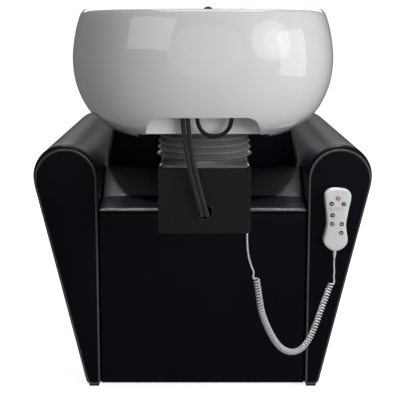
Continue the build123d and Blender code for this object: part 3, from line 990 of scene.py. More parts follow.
def prism(name: str, axis: Axis, low: float, high: float, section: Outline | Callable[[float], Outline],
          edge: float = 0.0, bulge: tuple[float, float] = (0.0, 0.0), spans: int = 1,
          domed: bool = False) -> bpy.types.Object:
    """A prism whose rims are rounded and whose ends may be crowned.

    Args:
        name: the piece's name.
        axis: the direction that it runs in.
        low: its lower end.
        high: its upper end.
        section: its outline, or one for each ease from 0 at an end face to 1 along the prism.
        edge: the rims' radius.
        bulge: how far the lower and the upper end face are crowned.
        spans: spans between the rims.
        domed: True divides the end faces into rings, for a crown or for bending.

    Returns:
        The piece.
    """
    outline_at = section if callable(section) else (lambda ease: inset(section, edge * (1 - ease)))
    steps = 5 if edge else 0
    turns = [math.pi / 2 * k / steps for k in range(steps)] if steps else []
    rings = []
    face = outline_at(0.0)
    mid = middle_of(face)
    shares = (0.05, 0.2, 0.36, 0.52, 0.68, 0.82, 0.93) if domed or any(bulge) else ()

    def crowned(share: float, at: float) -> list[Point]:
        """A ring of an end face, nearer to its middle for a smaller share."""
        return [axis.point(at, mid[0] + share * (a - mid[0]), mid[1] + share * (b - mid[1])) for a, b in face]

    for share in shares:
        rings.append(crowned(share, low - bulge[0] * (1 - share**2)))
    for turn in turns:
        rings.append([axis.point(low + edge * (1 - math.cos(turn)), a, b) for a, b in outline_at(math.sin(turn))])
    for k in range(spans + 1):
        at = low + edge + (high - low - 2 * edge) * k / spans
        rings.append([axis.point(at, a, b) for a, b in outline_at(1.0)])
    for turn in reversed(turns):
        rings.append([axis.point(high - edge * (1 - math.cos(turn)), a, b) for a, b in outline_at(math.sin(turn))])
    for share in reversed(shares):
        rings.append(crowned(share, high + bulge[1] * (1 - share**2)))
    return loft(name, rings)


def mirrored(piece: bpy.types.Object, name: str) -> bpy.types.Object:
    """A copy of a piece on the other side of the middle plane.

    Args:
        piece: the mesh object.
        name: the copy's name.

    Returns:
        The copy.
    """
    copy = piece.copy()
    copy.data = piece.data.copy()
    copy.name = copy.data.name = name
    bpy.context.scene.collection.objects.link(copy)
    copy.data.transform(Matrix.Scale(-1.0, 4, Vector((1.0, 0.0, 0.0))))
    return outward(copy)


def cut(piece: bpy.types.Object, tool: bpy.types.Object) -> bpy.types.Object:
    """Cut a tool's shape out of a piece, and remove the tool.

    Args:
        piece: the mesh object.
        tool: the shape to take away.

    Returns:
        The piece.
    """
    modify(piece, "BOOLEAN", operation="DIFFERENCE", solver="EXACT", object=tool)
    bpy.data.objects.remove(tool)
    return outward(piece)


def moved(piece: bpy.types.Object, matrix: Matrix) -> bpy.types.Object:
    """Move a piece's mesh."""
    piece.data.transform(matrix)
    return outward(piece)


def smooth_levels(levels: Sequence[Sequence[float]], per_span: int) -> list[tuple[float, ...]]:
    """Values along a smooth line through rows of numbers.

    Args:
        levels: the rows.
        per_span: steps between two rows.

    Returns:
        The rows in between, with the given ones.
    """
    rows = []
    last = len(levels) - 1
    for index in range(last):
        before, a = levels[max(index - 1, 0)], levels[index]
        b, after = levels[index + 1], levels[min(index + 2, last)]
        for k in range(per_span):
            t = k / per_span
            rows.append(tuple(
                0.5 * (2 * q + (r - p) * t + (2 * p - 5 * q + 4 * r - s) * t**2 + (3 * q - p - 3 * r + s) * t**3)
                for p, q, r, s in zip(before, a, b, after)))
    rows.append(tuple(levels[-1]))
    return rows


def super_ring(half_x: float, half_y: float, y_mid: float, z: float, power: float, count: int) -> list[Point]:
    """A level ring between an ellipse and a rectangle.

    Args:
        half_x: half the ring's width.
        half_y: half its depth.
        y_mid: the middle's place in depth.
        z: its height.
        power: 2 for an ellipse, more for squarer corners.
        count: how many points.

    Returns:
        The points.
    """
    ring = []
    for index in range(count):
        angle = math.tau * index / count
        c, s = math.cos(angle), math.sin(angle)
        ring.append((half_x * math.copysign(abs(c) ** (2 / power), c),
                     y_mid + half_y * math.copysign(abs(s) ** (2 / power), s), z))
    return ring


def swell(piece: bpy.types.Object, seams: Sequence[Sequence[Point]], voxel: float, pressure: float, cap: float,
          hold: float, low: Point, high: Point) -> bpy.types.Object:
    """Blow a padded piece up as cloth that its seams hold.

    Args:
        piece: the closed start shape.
        seams: lines of points that stay where they are.
        voxel: the cloth's mesh size.
        pressure: the pressure inside.
        cap: how far a point may move.
        hold: how near to a seam a point is held.
        low: the lowest corner that the piece may fill.
        high: the highest one.

    Returns:
        The piece, with the result applied.
    """
    modify(piece, "REMESH", mode="VOXEL", voxel_size=voxel)
    tree = KDTree(sum(len(line) for line in seams))
    for line in seams:
        for at in line:
            tree.insert(Vector(at), 0)
    tree.balance()
    start = [vertex.co.copy() for vertex in piece.data.vertices]
    group = piece.vertex_groups.new(name="seams")
    group.add([i for i, at in enumerate(start) if tree.find(at)[2] < hold], 1.0, "REPLACE")
    activate(piece)
    cloth = piece.modifiers.new("cloth", "CLOTH")
    cloth.settings.use_pressure = True
    cloth.settings.uniform_pressure_force = pressure
    cloth.settings.vertex_group_mass = group.name
    cloth.settings.effector_weights.gravity = 0.0
    cloth.point_cache.frame_start = 1
    cloth.point_cache.frame_end = SIM_FRAMES
    for step in range(1, SIM_FRAMES + 1):
        bpy.context.scene.frame_set(step)
    bpy.ops.object.modifier_apply(modifier=cloth.name)
    bpy.context.scene.frame_set(1)
    for vertex, before in zip(piece.data.vertices, start):
        step = vertex.co - before
        if step.length > cap:
            step *= cap / step.length
        at = before + step
        vertex.co = [min(max(value, least), most) for value, least, most in zip(at, low, high)]
    piece.vertex_groups.clear()
    modify(piece, "SMOOTH", factor=0.5, iterations=3)
    subdivide(piece, 1)
    return smooth(piece, 80.0)


# ---------------------------------------------------------------- stage
@dataclass
class Stage:
    """The floor, the lights and the camera."""

    camera_at: Point = (-0.0065, -2.77, 0.928)
    camera_dip: float = 10.0
    lens: float = 95.4
    floor_size: float = 600.0
    ambient: float = 0.15
    glow_from: float = -1.9
    glow_to: float = 0.4
    backdrop_at: float = 60.0
    spot_power: float = 1000.0
    spot_angle: float = 4.4
    spot_radius: float = 0.12
    middle: Point = (0.0, -0.4, 0.75)

    def build(self) -> None:
        """Make them all."""
        self._floor()
        self._backdrop()
        self._world()
        for name, size, power in (("key_core", 0.9, 5.0), ("key_middle", 1.4, 8.0), ("key_halo", 2.0, 14.0)):
            self._light(name, (2.75, -2.75, 1.75), (0.0, -0.4, 0.70), (1.25 * size, size), power, "ELLIPSE")
        self._light("side_softbox", (3.3, -1.5, 1.0), self.middle, (2.0, 2.0), 15.0)
        for name, height, power in (("low_fill", 0.55, 26.0), ("middle_fill", 1.25, 26.0)):
            self._light(name, (2.2, -3.0, height), self.middle, (1.6, 0.9), power).visible_glossy = False
        self._light("left_fill", (-2.8, -2.4, 1.0), self.middle, (1.6, 1.6), 6.0).visible_glossy = False
        self._light("rear_fill", (0.10, -3.9, 1.15), self.middle, (2.8, 2.8), 7.0, "DISK")
        self._light("window", (-1.95, -3.0, 2.2), (0.0, -0.5, 0.80), (2.3, 1.6), 12.0).visible_diffuse = False
        self._light("overhead", (0.2, 0.0, 3.2), (0.0, 0.0, 0.0), (1.8, 1.8), 22.0)
        for name, x in (("front_left", -1.05), ("front_right", 1.05)):
            self._light(name, (x, 3.3, 2.5), (0.0, 0.0, 0.4), (1.6, 1.6), 20.0)
        for name, side in (("ledge_left", -1.0), ("ledge_right", 1.0)):
            self._spot(name, (0.27 * side, -0.02, 2.5), (0.218 * side, -0.20, 0.45))
        self._camera()

    def _floor(self) -> None:
        """A plain pale floor that glows more towards the wall."""
        deselect()
        bpy.ops.mesh.primitive_plane_add(size=self.floor_size, location=(0.0, 0.0, 0.0))
        floor = bpy.context.object
        floor.name = "floor"
        shade = Shade("pale_floor")
        broad = shade.noise(3.0, 2.0)
        colour = shade.mix(broad, rgb(0.86, 0.86, 0.86), rgb(0.89, 0.89, 0.89))
        depth = shade.node("ShaderNodeSeparateXYZ", {}, {0: shade.place()}, "Y")
        glow = shade.mix(depth.within(self.glow_from, self.glow_to), rgb(0.06, 0.06, 0.06), rgb(0.97, 0.97, 0.97))
        floor.data.materials.append(shade.finish(Base_Color=colour, Roughness=0.9, Emission_Color=glow,
                                                 Emission_Strength=1.0))
        self._out_of_reflections(floor)

    @staticmethod
    def _out_of_reflections(piece: bpy.types.Object) -> None:
        """Keep a bright stage piece from washing out the dark covers."""
        piece.visible_glossy = False
        piece.visible_diffuse = False

    def _backdrop(self) -> None:
        """A white wall, far behind the chair's front."""
        wall = brick("backdrop", (-200.0, self.backdrop_at, -0.5), (200.0, self.backdrop_at + 0.5, 8.0))
        shade = Shade("white_backdrop")
        tint = shade.mix(shade.noise(0.05), rgb(0.95, 0.95, 0.95), rgb(1.0, 1.0, 1.0))
        wall.data.materials.append(shade.finish(Base_Color=tint, Roughness=0.9, Emission_Color=tint,
                                                Emission_Strength=1.0))
        self._out_of_reflections(wall)

    def _world(self) -> None:
        """Soft light from all round, and white past the floor's edge."""
        world = bpy.data.worlds.new("studio")
        bpy.context.scene.world = world
        world.use_nodes = True
        background = world.node_tree.nodes["Background"]
        background.inputs["Color"].default_value = rgb(1.0, 1.0, 1.0)
        background.inputs["Strength"].default_value = self.ambient

    @staticmethod
    def _lamp(data: bpy.types.Light, at: Point, towards: Point) -> bpy.types.Object:
        """Hang a light.

        Args:
            data: the light.
            at: where it hangs.
            towards: the point that it faces.

        Returns:
            The lamp.
        """
        lamp = bpy.data.objects.new(data.name, data)
        bpy.context.scene.collection.objects.link(lamp)
        lamp.location = at
        lamp.rotation_euler = (Vector(towards) - Vector(at)).to_track_quat("-Z", "Y").to_euler()
        return lamp

    def _light(self, name: str, at: Point, towards: Point, size: tuple[float, float], power: float,
               shape: str = "RECTANGLE") -> bpy.types.Object:
        """An area light that faces a point.

        Args:
            name: the lamp's name.
            at: where it hangs.
            towards: the point that it faces.
            size: its width and height.
            power: its power in watts.
            shape: the outline of its panel.

        Returns:
            The lamp.
        """
        data = bpy.data.lights.new(name, "AREA")
        data.shape = shape
        data.size, data.size_y = size
        data.energy = power
        return self._lamp(data, at, towards)

    def _spot(self, name: str, at: Point, towards: Point) -> None:
        """A narrow soft light that picks out one end of the ledge.

        Args:
            name: the lamp's name.
            at: where it hangs.
            towards: the point that it faces.
        """
        data = bpy.data.lights.new(name, "SPOT")
        data.energy = self.spot_power
        data.spot_size = math.radians(self.spot_angle)
        data.spot_blend = 1.0
        data.shadow_soft_size = self.spot_radius
        self._lamp(data, at, towards)

    def _camera(self) -> None:
        """The camera, behind the basin."""
        data = bpy.data.cameras.new("camera")
        data.lens = self.lens
        data.sensor_width = 36.0
        camera = bpy.data.objects.new("camera", data)
        bpy.context.scene.collection.objects.link(camera)
        camera.location = self.camera_at
        camera.rotation_euler = (math.radians(90.0 - self.camera_dip), 0.0, 0.0)
        bpy.context.scene.camera = camera


# ---------------------------------------------------------------- cords
def millimetres(*points: Point) -> list[Point]:
    """Points given in millimetres, in metres."""
    return [(x * MM, y * MM, z * MM) for x, y, z in points]


@dataclass
class Cords:
    """The basin's hoses and the handset's curly cord."""

    finishes: Finishes
    supply_route: list[Point] = field(default_factory=lambda: millimetres(
        (0, -566, 738), (0.3, -566, 712), (4, -563, 674), (12, -552, 618), (24.5, -544, 565), (34.5, -546, 528),
        (39.5, -541, 509), (41.5, -529, 500), (41.9, -513, 498), (42, -496, 499)))
    supply_starts: tuple[float, float] = (-0.0435, -0.0328)
    supply_d: float = 0.010
    supply_length: float = 0.283
    spray_route: list[Point] = field(default_factory=lambda: millimetres(
        (-13, -572, 742), (-13.5, -571, 708), (-5, -567, 686), (12, -563, 674), (34, -562, 674),
        (52, -565.5, 686), (60.5, -570, 708), (60, -571, 742)))
    spray_d: float = 0.009
    spray_length: float = 0.178
    lead_route: list[Point] = field(default_factory=lambda: millimetres(
        (97, -488, 455), (97, -488, 431), (99, -486.8, 407), (103.5, -483.2, 386), (109.5, -478.8, 369),
        (115, -474.6, 358), (118, -472, 349)))
    coil_route: list[Point] = field(default_factory=lambda: millimetres(
        (121.5, -469.4, 330), (125.5, -466, 304), (131, -460, 268), (142, -448, 235), (160, -429, 194),
        (181, -406, 161), (207.5, -377, 141), (235, -348, 140), (255, -327, 158), (272, -308, 189), (287, -291, 225),
        (301, -276, 256), (314, -263, 283)))
    tail_route: list[Point] = field(default_factory=lambda: millimetres(
        (318, -259, 291.3), (322, -249, 303), (321.6, -238.5, 321.1), (322.2, -238.5, 339.1)))
    cord_d: float = 0.0042
    coil_radius: float = 0.0056
    coil_pitch: float = 0.0054
    coil_steps: int = 14
    coil_bend: float = 0.0052
    coil_slant: float = 0.98
    coil_reach: float = 0.018
    cord_length: float = 2.57

    def build(self) -> None:
        """Make every cord."""
        for name, start in zip(("supply_hose_hot", "supply_hose_cold"), self.supply_starts):
            self._supply(name, start)
        self._spray_loop()
        self._handset_cord()

    def _supply(self, name: str, start: float) -> None:
        """One braided supply hose, from the basin into the cover.

        Args:
            name: the hose's node.
            start: where the hose leaves the basin, in X.
        """
        points = spline_points([(start + x, y, z) for x, y, z in self.supply_route])
        hose = tube(f"{name}_tube", points, self.supply_d / 2, 16)
        hose.data.materials.append(self.finishes.get(Slot.HOSE_BRAID))
        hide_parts(name)
        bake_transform(hose)
        LOG.info("%s: %.3f m", name, run_length(points))

    def _spray_loop(self) -> None:
        """The hand spray's hose, where it dips below the basin."""
        points = spline_points(self.spray_route)
        hose = tube("spray_hose_tube", points, self.spray_d / 2, 16)
        self.finishes.dress(hose, Slot.HOSE_RUBBER, "basin", "spray_hose_loop")
        LOG.info("spray hose: %.3f m", run_length(points))

    def _handset_cord(self) -> None:
        """The handset's cord: a straight lead, a curly part and a straight tail."""
        centre = spline_points([*self.lead_route, *self.coil_route, *self.tail_route], 24)
        path = self._curled(centre)
        cord = tube("handset_cord", path, self.cord_d / 2, 10)
        cord.data.materials.append(self.finishes.get(Slot.CORD_GREY))
        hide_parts("handset_cord_lead", "handset_cord_coil", "handset_cord_tail")
        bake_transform(cord)
        LOG.info("handset cord: %.3f m, %d points", run_length(path), len(path))

    def _curled(self, centre: Sequence[Vector]) -> list[Vector]:
        """The cord's own line: the centre line, with turns round its curly part.

        The straight ends run into the turns from the side, and bend round into them.

        Args:
            centre: the centre line of the lead, the curly part and the tail.

        Returns:
            The line's points.
        """
        ends = [min(range(len(centre)), key=lambda i: (centre[i] - Vector(at)).length)
                for at in (self.lead_route[-1], self.coil_route[-1])]
        frames = carried_frames(centre)
        run = [0.0]
        for a, b in zip(centre, centre[1:]):
            run.append(run[-1] + (b - a).length)
        low, high = run[ends[0]], run[ends[1]]
        count = round((high - low) / self.coil_pitch) * self.coil_steps
        step = (high - low) / count
        angles = [self._side(frames[ends[0]], -1.0)]
        for k in range(count):
            angles.append(angles[-1] + step * self._turn_rate((k + 0.5) * step, high - low))
        spare = (self._side(frames[ends[1]], 1.0) - angles[-1]) % math.tau
        stretch = 1.0 + spare / (angles[-1] - angles[0])
        angles = [angles[0] + (angle - angles[0]) * stretch for angle in angles]
        path = []
        for index, at in enumerate(run):
            if at < low:
                path.append(self._beside(centre[index], frames[index], angles[0], 1.0 - (low - at) / self.coil_reach))
        span = ends[0]
        for k, angle in enumerate(angles):
            at = low + k * step
            while span < ends[1] - 1 and run[span + 1] < at:
                span += 1
            share = (at - run[span]) / (run[span + 1] - run[span])
            here = centre[span].lerp(centre[span + 1], share)
            both = [a.lerp(b, share) for a, b in zip(frames[span], frames[span + 1])]
            path.append(self._beside(here, both, angle, 1.0))
        for index, at in enumerate(run):
            if at > high:
                path.append(self._beside(centre[index], frames[index], angles[-1],
                                         1.0 - (at - high) / self.coil_reach))
        return path

    @staticmethod
    def _side(frame: Sequence[Vector], side: float) -> float:
        """The angle at which a turn is furthest to a side."""
        return math.atan2(side * frame[1].x, side * frame[0].x)

    def _turn_rate(self, at: float, length: float) -> float:
        """Radians per metre of the centre line, fewer where the cord bends into and out of its turns.

        Args:
            at: the distance into the turns.
            length: the turns' whole length.

        Returns:
            Radians per metre.
        """
        bend = min(min(at, length - at) / self.coil_bend, self.coil_slant)
        return min(bend / math.sqrt(1.0 - bend**2) / self.coil_radius, math.tau / self.coil_pitch)

    def _beside(self, at: Vector, frame: Sequence[Vector], angle: float, share: float) -> Vector:
        """A point beside the centre line, by an eased share of the turns' radius.

        Args:
            at: a point of the centre line.
            frame: two directions across the line.
            angle: the turn's angle.
            share: the share of the radius.

        Returns:
            The point.
        """
        share = min(1.0, max(0.0, share))
        reach = self.coil_radius * share**2 * (3.0 - 2.0 * share)
        return at + reach * (math.cos(angle) * frame[0] + math.sin(angle) * frame[1])


def run_length(points: Sequence[Vector]) -> float:
    """The length of a line of points."""
    return sum((b - a).length for a, b in zip(points, points[1:]))


# ---------------------------------------------------------------- chair upholstery
@dataclass
class Arms:
    """The two padded arms, with piping round their end faces."""

    finishes: Finishes
    rear: float = -0.220
    front: float = 0.680
    inner: float = 0.257
    top_radius: float = 0.0785
    top_z: float = 0.5355
    foot: tuple[float, float] = (0.291, 0.006)
    foot_round: float = 0.012
    end_shift: tuple[float, float] = (0.0015, 0.0085)
    end_shrink: float = 0.0045
    end_edge: float = 0.013
    piping_r: float = 0.0029

    def outline(self, ease: float) -> Outline:
        """The right arm's outline, from 0 at an end face to 1 along the arm.

        Args:
            ease: 0 at an end face, 1 along the arm.

        Returns:
            The outline, as X and Z.
        """
        less = 1.0 - ease
        radius = self.top_radius - self.end_shrink * less
        mid_x = self.inner + self.top_radius - (self.end_shift[0] - 0.0005) * less
        top_z = self.top_z - self.end_shift[1] * less
        foot_x = self.foot[0] - 0.003 * less
        foot_z = self.foot[1] + 0.003 * less
        inner = mid_x - radius
        dx, dz = mid_x - foot_x, top_z - foot_z
        reach = math.hypot(dx, dz)
        lean = math.atan2(dz, dx) - math.asin(radius / reach)
        along = math.sqrt(reach**2 - radius**2)
        touch = (foot_x + along * math.cos(lean), foot_z + along * math.sin(lean))
        touch_angle = math.atan2(touch[1] - top_z, touch[0] - mid_x)
        points = [(inner, foot_z + 0.004 + (top_z - foot_z - 0.004) * k / 24) for k in range(24)]
        for k in range(45):
            angle = math.pi + (touch_angle - math.pi) * k / 44
            points.append((mid_x + radius * math.cos(angle), top_z + radius * math.sin(angle)))
        corner = Vector((foot_x, foot_z))
        up = Vector((math.cos(lean), math.sin(lean)))
        start = corner + up * self.foot_round
        for k in range(1, 25):
            at = Vector(touch).lerp(start, k / 24)
            points.append((at.x, at.y))
        end = corner + Vector((-self.foot_round, 0.0))
        for k in range(1, 6):
            t = k / 5
            bend = start * (1 - t) ** 2 + corner * 2 * t * (1 - t) + end * t**2
            points.append((bend.x, bend.y))
        points.append((inner + 0.004, foot_z))
        return points

    def build(self) -> None:
        """Make both arms."""
        right = prism("arm_right_cover", Axis.Y, self.rear, self.front, self.outline, self.end_edge, spans=18)
        smooth(right, 50.0)
        left = smooth(mirrored(right, "arm_left_cover"), 50.0)
        self.finishes.dress(right, Slot.UPHOLSTERY, "chair", "right_arm")
        self.finishes.dress(left, Slot.UPHOLSTERY, "chair", "left_arm")
        for end, y in (("rear", self.rear + 0.0006), ("front", self.front - 0.0006)):
            outline = [(x, y, z) for x, z in inset(self.outline(0.0), 0.0002)]
            piping = bead(f"arm_piping_{end}_right", outline, self.piping_r)
            other = smooth(mirrored(piping, f"arm_piping_{end}_left"), 80.0)
            for piece in (piping, other):
                dress_piping(self.finishes, piece, "chair")
        LOG.info("arms and their piping")


def dress_piping(finishes: Finishes, piece: bpy.types.Object, body: str) -> None:
    """Give a bead of piping its finish and its body.

    Args:
        finishes: the object's finishes.
        piece: the bead.
        body: the body that it rides on.
    """
    piece.data.materials.clear()
    piece.data.materials.append(finishes.piping())
    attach(piece, body)


@dataclass
class ChairBody:
    """The upholstered panels between the arms."""

    finishes: Finishes
    half: float = 0.2566
    panel_y: tuple[float, float] = (-0.2155, -0.196)
    panel_z: tuple[float, float] = (0.008, 0.4455)
    kick_y: tuple[float, float] = (0.601, 0.608)
    kick_z: tuple[float, float] = (0.012, 0.285)
    block_bottom: float = 0.446
    highlight_welt_r: float = 0.0019
    cover: tuple[float, float, float] = (-0.0978, 0.1038, -0.0992)
    cover_bottom: float = 0.4578

    def build(self) -> None:
        """Make the rear panel, the ledge and slope, and the kick panel."""
        low, high = self.panel_z
        face = rounded([(-self.half, low, 0.006), (self.half, low, 0.006), (self.half, high, 0.006),
                        (-self.half, high, 0.006)], 0.02)
        panel = smooth(prism("rear_panel_cover", Axis.Y, *self.panel_y, face, 0.006, (0.0015, 0.0)), 50.0)
        self.finishes.dress(panel, Slot.UPHOLSTERY, "chair", "rear_panel")
        low, high = self.kick_z
        face = rounded([(-self.half, low, 0.004), (self.half, low, 0.004), (self.half, high, 0.004),
                        (-self.half, high, 0.004)], 0.02)
        kick = smooth(prism("kick_panel_cover", Axis.Y, *self.kick_y, face, 0.003), 50.0)
        self.finishes.dress(kick, Slot.UPHOLSTERY, "chair", "kick_panel")
        self._ledge()
        LOG.info("rear panel, ledge and kick panel")

    def _ledge(self) -> None:
        """The padded ledge and slope, cut round the pedestal's cover, with pale welts along the front edge as a painted
        highlight.
        """
        profile = rounded([(-0.2155, self.block_bottom, 0.001), (-0.2155, 0.4480, 0.002), (-0.2050, 0.4560, 0.010),
                           (-0.1780, 0.4620, 0.020), (-0.112, 0.4695, 0.014),
                           (-0.040, 0.540, 0.010), (0.014, 0.540, 0.006), (0.014, self.block_bottom, 0.003)], 0.012)
        ledge = prism("ledge_cover", Axis.X, -self.half, self.half, profile, 0.007, spans=30)
        for vertex in ledge.data.vertices:
            side = min(1.0, (self.half - abs(vertex.co.x)) / 0.05)
            vertex.co.z -= 0.004 * (1 - side) ** 2 if vertex.co.z > self.block_bottom + 0.01 else 0.0
        left, right, near = self.cover
        cut(ledge, brick("cover_room", (left, -0.30, self.cover_bottom), (right, near, 0.60)))
        smooth(ledge, 42.0)
        self.finishes.dress(ledge, Slot.UPHOLSTERY, "chair", "rear_block")
        # Pale welts on the ledge's front edge: a painted highlight for the light line that the rounded edge catches.
        for name, start, end in (("ledge_highlight_welt_left", -self.half + 0.003, left - 0.001),
                                 ("ledge_highlight_welt_right", right + 0.001, self.half - 0.003)):
            line = [Vector((start + (end - start) * k / 12, -0.2158, 0.4512)) for k in range(13)]
            dress_piping(self.finishes, tube(name, line, self.highlight_welt_r, 10), "chair")


@dataclass
class Backrest:
    """The leaning back: a barrel-shaped shell with piping, and a padded cushion."""

    finishes: Finishes
    lean: float = 15.0
    origin: Point = (0.0, -0.02124, 0.470)
    half_outline: tuple[tuple[float, float], ...] = (
        (0.247, 0.0), (0.247, 0.070), (0.240, 0.125), (0.222, 0.200), (0.180, 0.290), (0.112, 0.386), (0.060, 0.408),
        (0.0, 0.412))
    barrel_r: float = 1.7
    barrel_rise: float = 0.017
    shell_front: float = 0.030
    cushion_front: float = 0.102

    def frame(self) -> Matrix:
        """The back's own axes: across, up the back, and out of its front.

        Returns:
            The matrix from those axes to the object's.
        """
        turn = math.radians(self.lean)
        up = Vector((0.0, -math.sin(turn), math.cos(turn)))
        out = Vector((0.0, math.cos(turn), math.sin(turn)))
        matrix = Matrix.Identity(4)
        for row in range(3):
            matrix[row][0] = 1.0 if row == 0 else 0.0
            matrix[row][1] = up[row]
            matrix[row][2] = out[row]
            matrix[row][3] = self.origin[row]
        return matrix

    def outline(self, foot: float) -> Outline:
        """The arch, from a foot height.

        Args:
            foot: how far up the back the arch starts.

        Returns:
            The outline, as distances across and up the back.
        """
        right = [(x, s) for x, s in smooth_levels(self.half_outline, 8)]
        base = [(0.247, foot + (0.0 - foot) * k / 2) for k in range(2)]
        half = base + right
        left = [(-x, s) for x, s in reversed(half[:-1])]
        floor = [(-0.247 + 0.494 * k / 24, foot) for k in range(1, 24)]
        return half + left + floor

    def build(self) -> None:
        """Make the shell and the cushion."""
        self._shell()
        self._cushion()
        LOG.info("backrest")

    def _barrel(self, x: float) -> float:
        """How far behind the back's plane the shell's rear face lies."""
        return self.barrel_rise - (self.barrel_r - math.sqrt(self.barrel_r**2 - x**2))

    def _shell(self) -> None:
        """The shell, its arch seam and its piping."""
        face = self.outline(0.050)
        shell = prism("backrest_back", Axis.Z, 0.0, self.shell_front, face, 0.006, domed=True)
        for vertex in shell.data.vertices:
            share = max(0.0, 1.0 - vertex.co.z / self.shell_front)
            vertex.co.z -= self._barrel(vertex.co.x) * share
        moved(shell, self.frame())
        smooth(shell, 50.0)
        self.finishes.dress(shell, Slot.UPHOLSTERY, "chair", "backrest_shell")
        for name, depth, growth, radius in (("backrest_piping", 0.004, 0.0, 0.0020),
                                            ("backrest_seam", 0.010, 0.15, 0.0014)):
            arch = [p for p in inset(self.outline(0.0), depth)[:-23] if p[1] > 0.060]
            arch = [(x * (1.0 - growth * min(s, 0.25) / 0.247), s - growth * max(0.0, s - 0.3)) for x, s in arch]
            points = [Vector((x, s, -self._barrel(x) - 0.0004)) for x, s in arch]
            line = moved(tube(name, points, radius, 10), self.frame())
            dress_piping(self.finishes, smooth(line, 80.0), "chair")
            if growth:
                line.data.materials[0] = self.finishes.get(Slot.UPHOLSTERY)

    def _cushion(self) -> None:
        """The padded front."""
        start, end = self.shell_front + 0.0005, self.cushion_front - 0.014
        face = inset(self.outline(-0.022), 0.003)
        pad = prism("backrest_pad", Axis.Z, start, end, face, 0.016, (0.0, 0.004), spans=3)
        frame = self.frame()
        moved(pad, frame)
        rim = inset(face, 0.006)
        seams = [[tuple(frame @ Vector((x, s, end - 0.004))) for x, s in even_outline(rim, 0.004)],
                 [tuple(frame @ Vector((x, s, start + 0.004))) for x, s in even_outline(inset(face, 0.002), 0.004)]]
        reach = 0.21
        for height in (0.135, 0.262):
            width = reach if height < 0.2 else 0.165
            seams.append([tuple(frame @ Vector((-width + 2 * width * k / 120, height, end + 0.004)))
                          for k in range(121)])
        swell(pad, seams, 0.006, 4.0, 0.020, 0.0065, (-0.2535, -0.20, 0.463), (0.2535, 0.16, 0.90))
        trim_behind(pad, frame, self.shell_front + 0.0004)
        self.finishes.dress(pad, Slot.UPHOLSTERY, "chair", "backrest_cushion")
        piping = bead_on("backrest_pad_piping", seams[0], 0.0022)
        dress_piping(self.finishes, piping, "chair")


def trim_behind(piece: bpy.types.Object, frame: Matrix, least: float) -> None:
    """Press a padded piece flat against the plane behind it.

    Args:
        piece: the padded piece.
        frame: the plane's axes.
        least: the plane's place along their third.
    """
    back = frame.inverted()
    for vertex in piece.data.vertices:
        at = back @ vertex.co
        if at.z < least:
            at.z = least
            vertex.co = frame @ at


def bead_on(name: str, points: Sequence[Point], radius: float, sides: int = 8) -> bpy.types.Object:
    """A closed round bead along any closed line of points.

    Args:
        name: the piece's name.
        points: the closed line.
        radius: the bead's radius.
        sides: points round the bead.

    Returns:
        The piece.
    """
    line = [Vector(p) for p in points]
    frames = carried_frames([*line, line[0]])
    rings = []
    for at, (one, other) in zip(line, frames):
        rings.append([tuple(at + radius * (math.cos(math.tau * k / sides) * one
                                           + math.sin(math.tau * k / sides) * other)) for k in range(sides)])
    return smooth(loft(name, rings, ring_closed=True), 80.0)


@dataclass
class Seat:
    """The seat's cushion and the leg rest's pad."""

    finishes: Finishes
    half: float = 0.2545
    rear: float = 0.017
    front: float = 0.604
    bottom: float = 0.364
    top: float = 0.462
    leg_half: float = 0.252
    leg_y: tuple[float, float] = (0.6432, 0.6680)
    leg_z: tuple[float, float] = (0.047, 0.390)

    def build(self) -> None:
        """Make both."""
        self._seat()
        self._leg_pad()
        LOG.info("seat cushion and leg rest pad")

    def _seat(self) -> None:
        """The seat cushion, with piping along both sides."""
        top = self.top - 0.012
        profile = rounded([(self.rear, self.bottom, 0.006), (self.front, self.bottom, 0.010),
                           (self.front, top, 0.034), (self.rear, top, 0.014)], 0.012)
        cushion = prism("seat_pad", Axis.X, -self.half, self.half, profile, 0.012, (0.0, 0.0), spans=12)
        rim = inset(profile, 0.004)
        seams = [[(side * (self.half - 0.003), y, z) for y, z in even_outline(rim, 0.004)] for side in (-1, 1)]
        seams.append([(-self.half + 2 * self.half * k / 130, self.front - 0.002, 0.400) for k in range(131)])
        swell(cushion, seams, 0.006, 4.0, 0.022, 0.0065, (-0.2565, self.rear - 0.002, self.bottom - 0.001),
              (0.2565, 0.612, 0.485))
        self.finishes.dress(cushion, Slot.UPHOLSTERY, "chair", "seat_cushion")
        for side, line in zip(("left", "right"), seams):
            dress_piping(self.finishes, bead_on(f"seat_piping_{side}", line, 0.0022), "chair")

    def _leg_pad(self) -> None:
        """The leg rest's pad, with two sewn channels."""
        low, high = self.leg_z
        face = rounded([(-self.leg_half, low, 0.02), (self.leg_half, low, 0.02), (self.leg_half, high, 0.02),
                        (-self.leg_half, high, 0.02)], 0.012)
        pad = prism("leg_rest_cover", Axis.Y, *self.leg_y, face, 0.010, spans=2, domed=True)
        rim = [(x, self.leg_y[1] - 0.003, z) for x, z in even_outline(inset(face, 0.005), 0.004)]
        base = [(x, self.leg_y[0] + 0.003, z) for x, z in even_outline(inset(face, 0.002), 0.004)]
        seams = [rim, base]
        for height in (0.160, 0.277):
            seams.append([(-self.leg_half + 2 * self.leg_half * k / 130, self.leg_y[1], height) for k in range(131)])
        swell(pad, seams, 0.005, 4.0, 0.014, 0.0055, (-0.256, self.leg_y[0], 0.042), (0.256, 0.685, 0.395))
        self.finishes.dress(pad, Slot.UPHOLSTERY, "leg_rest", "leg_rest_pad")
        dress_piping(self.finishes, bead_on("leg_rest_piping", rim, 0.0022), "leg_rest")


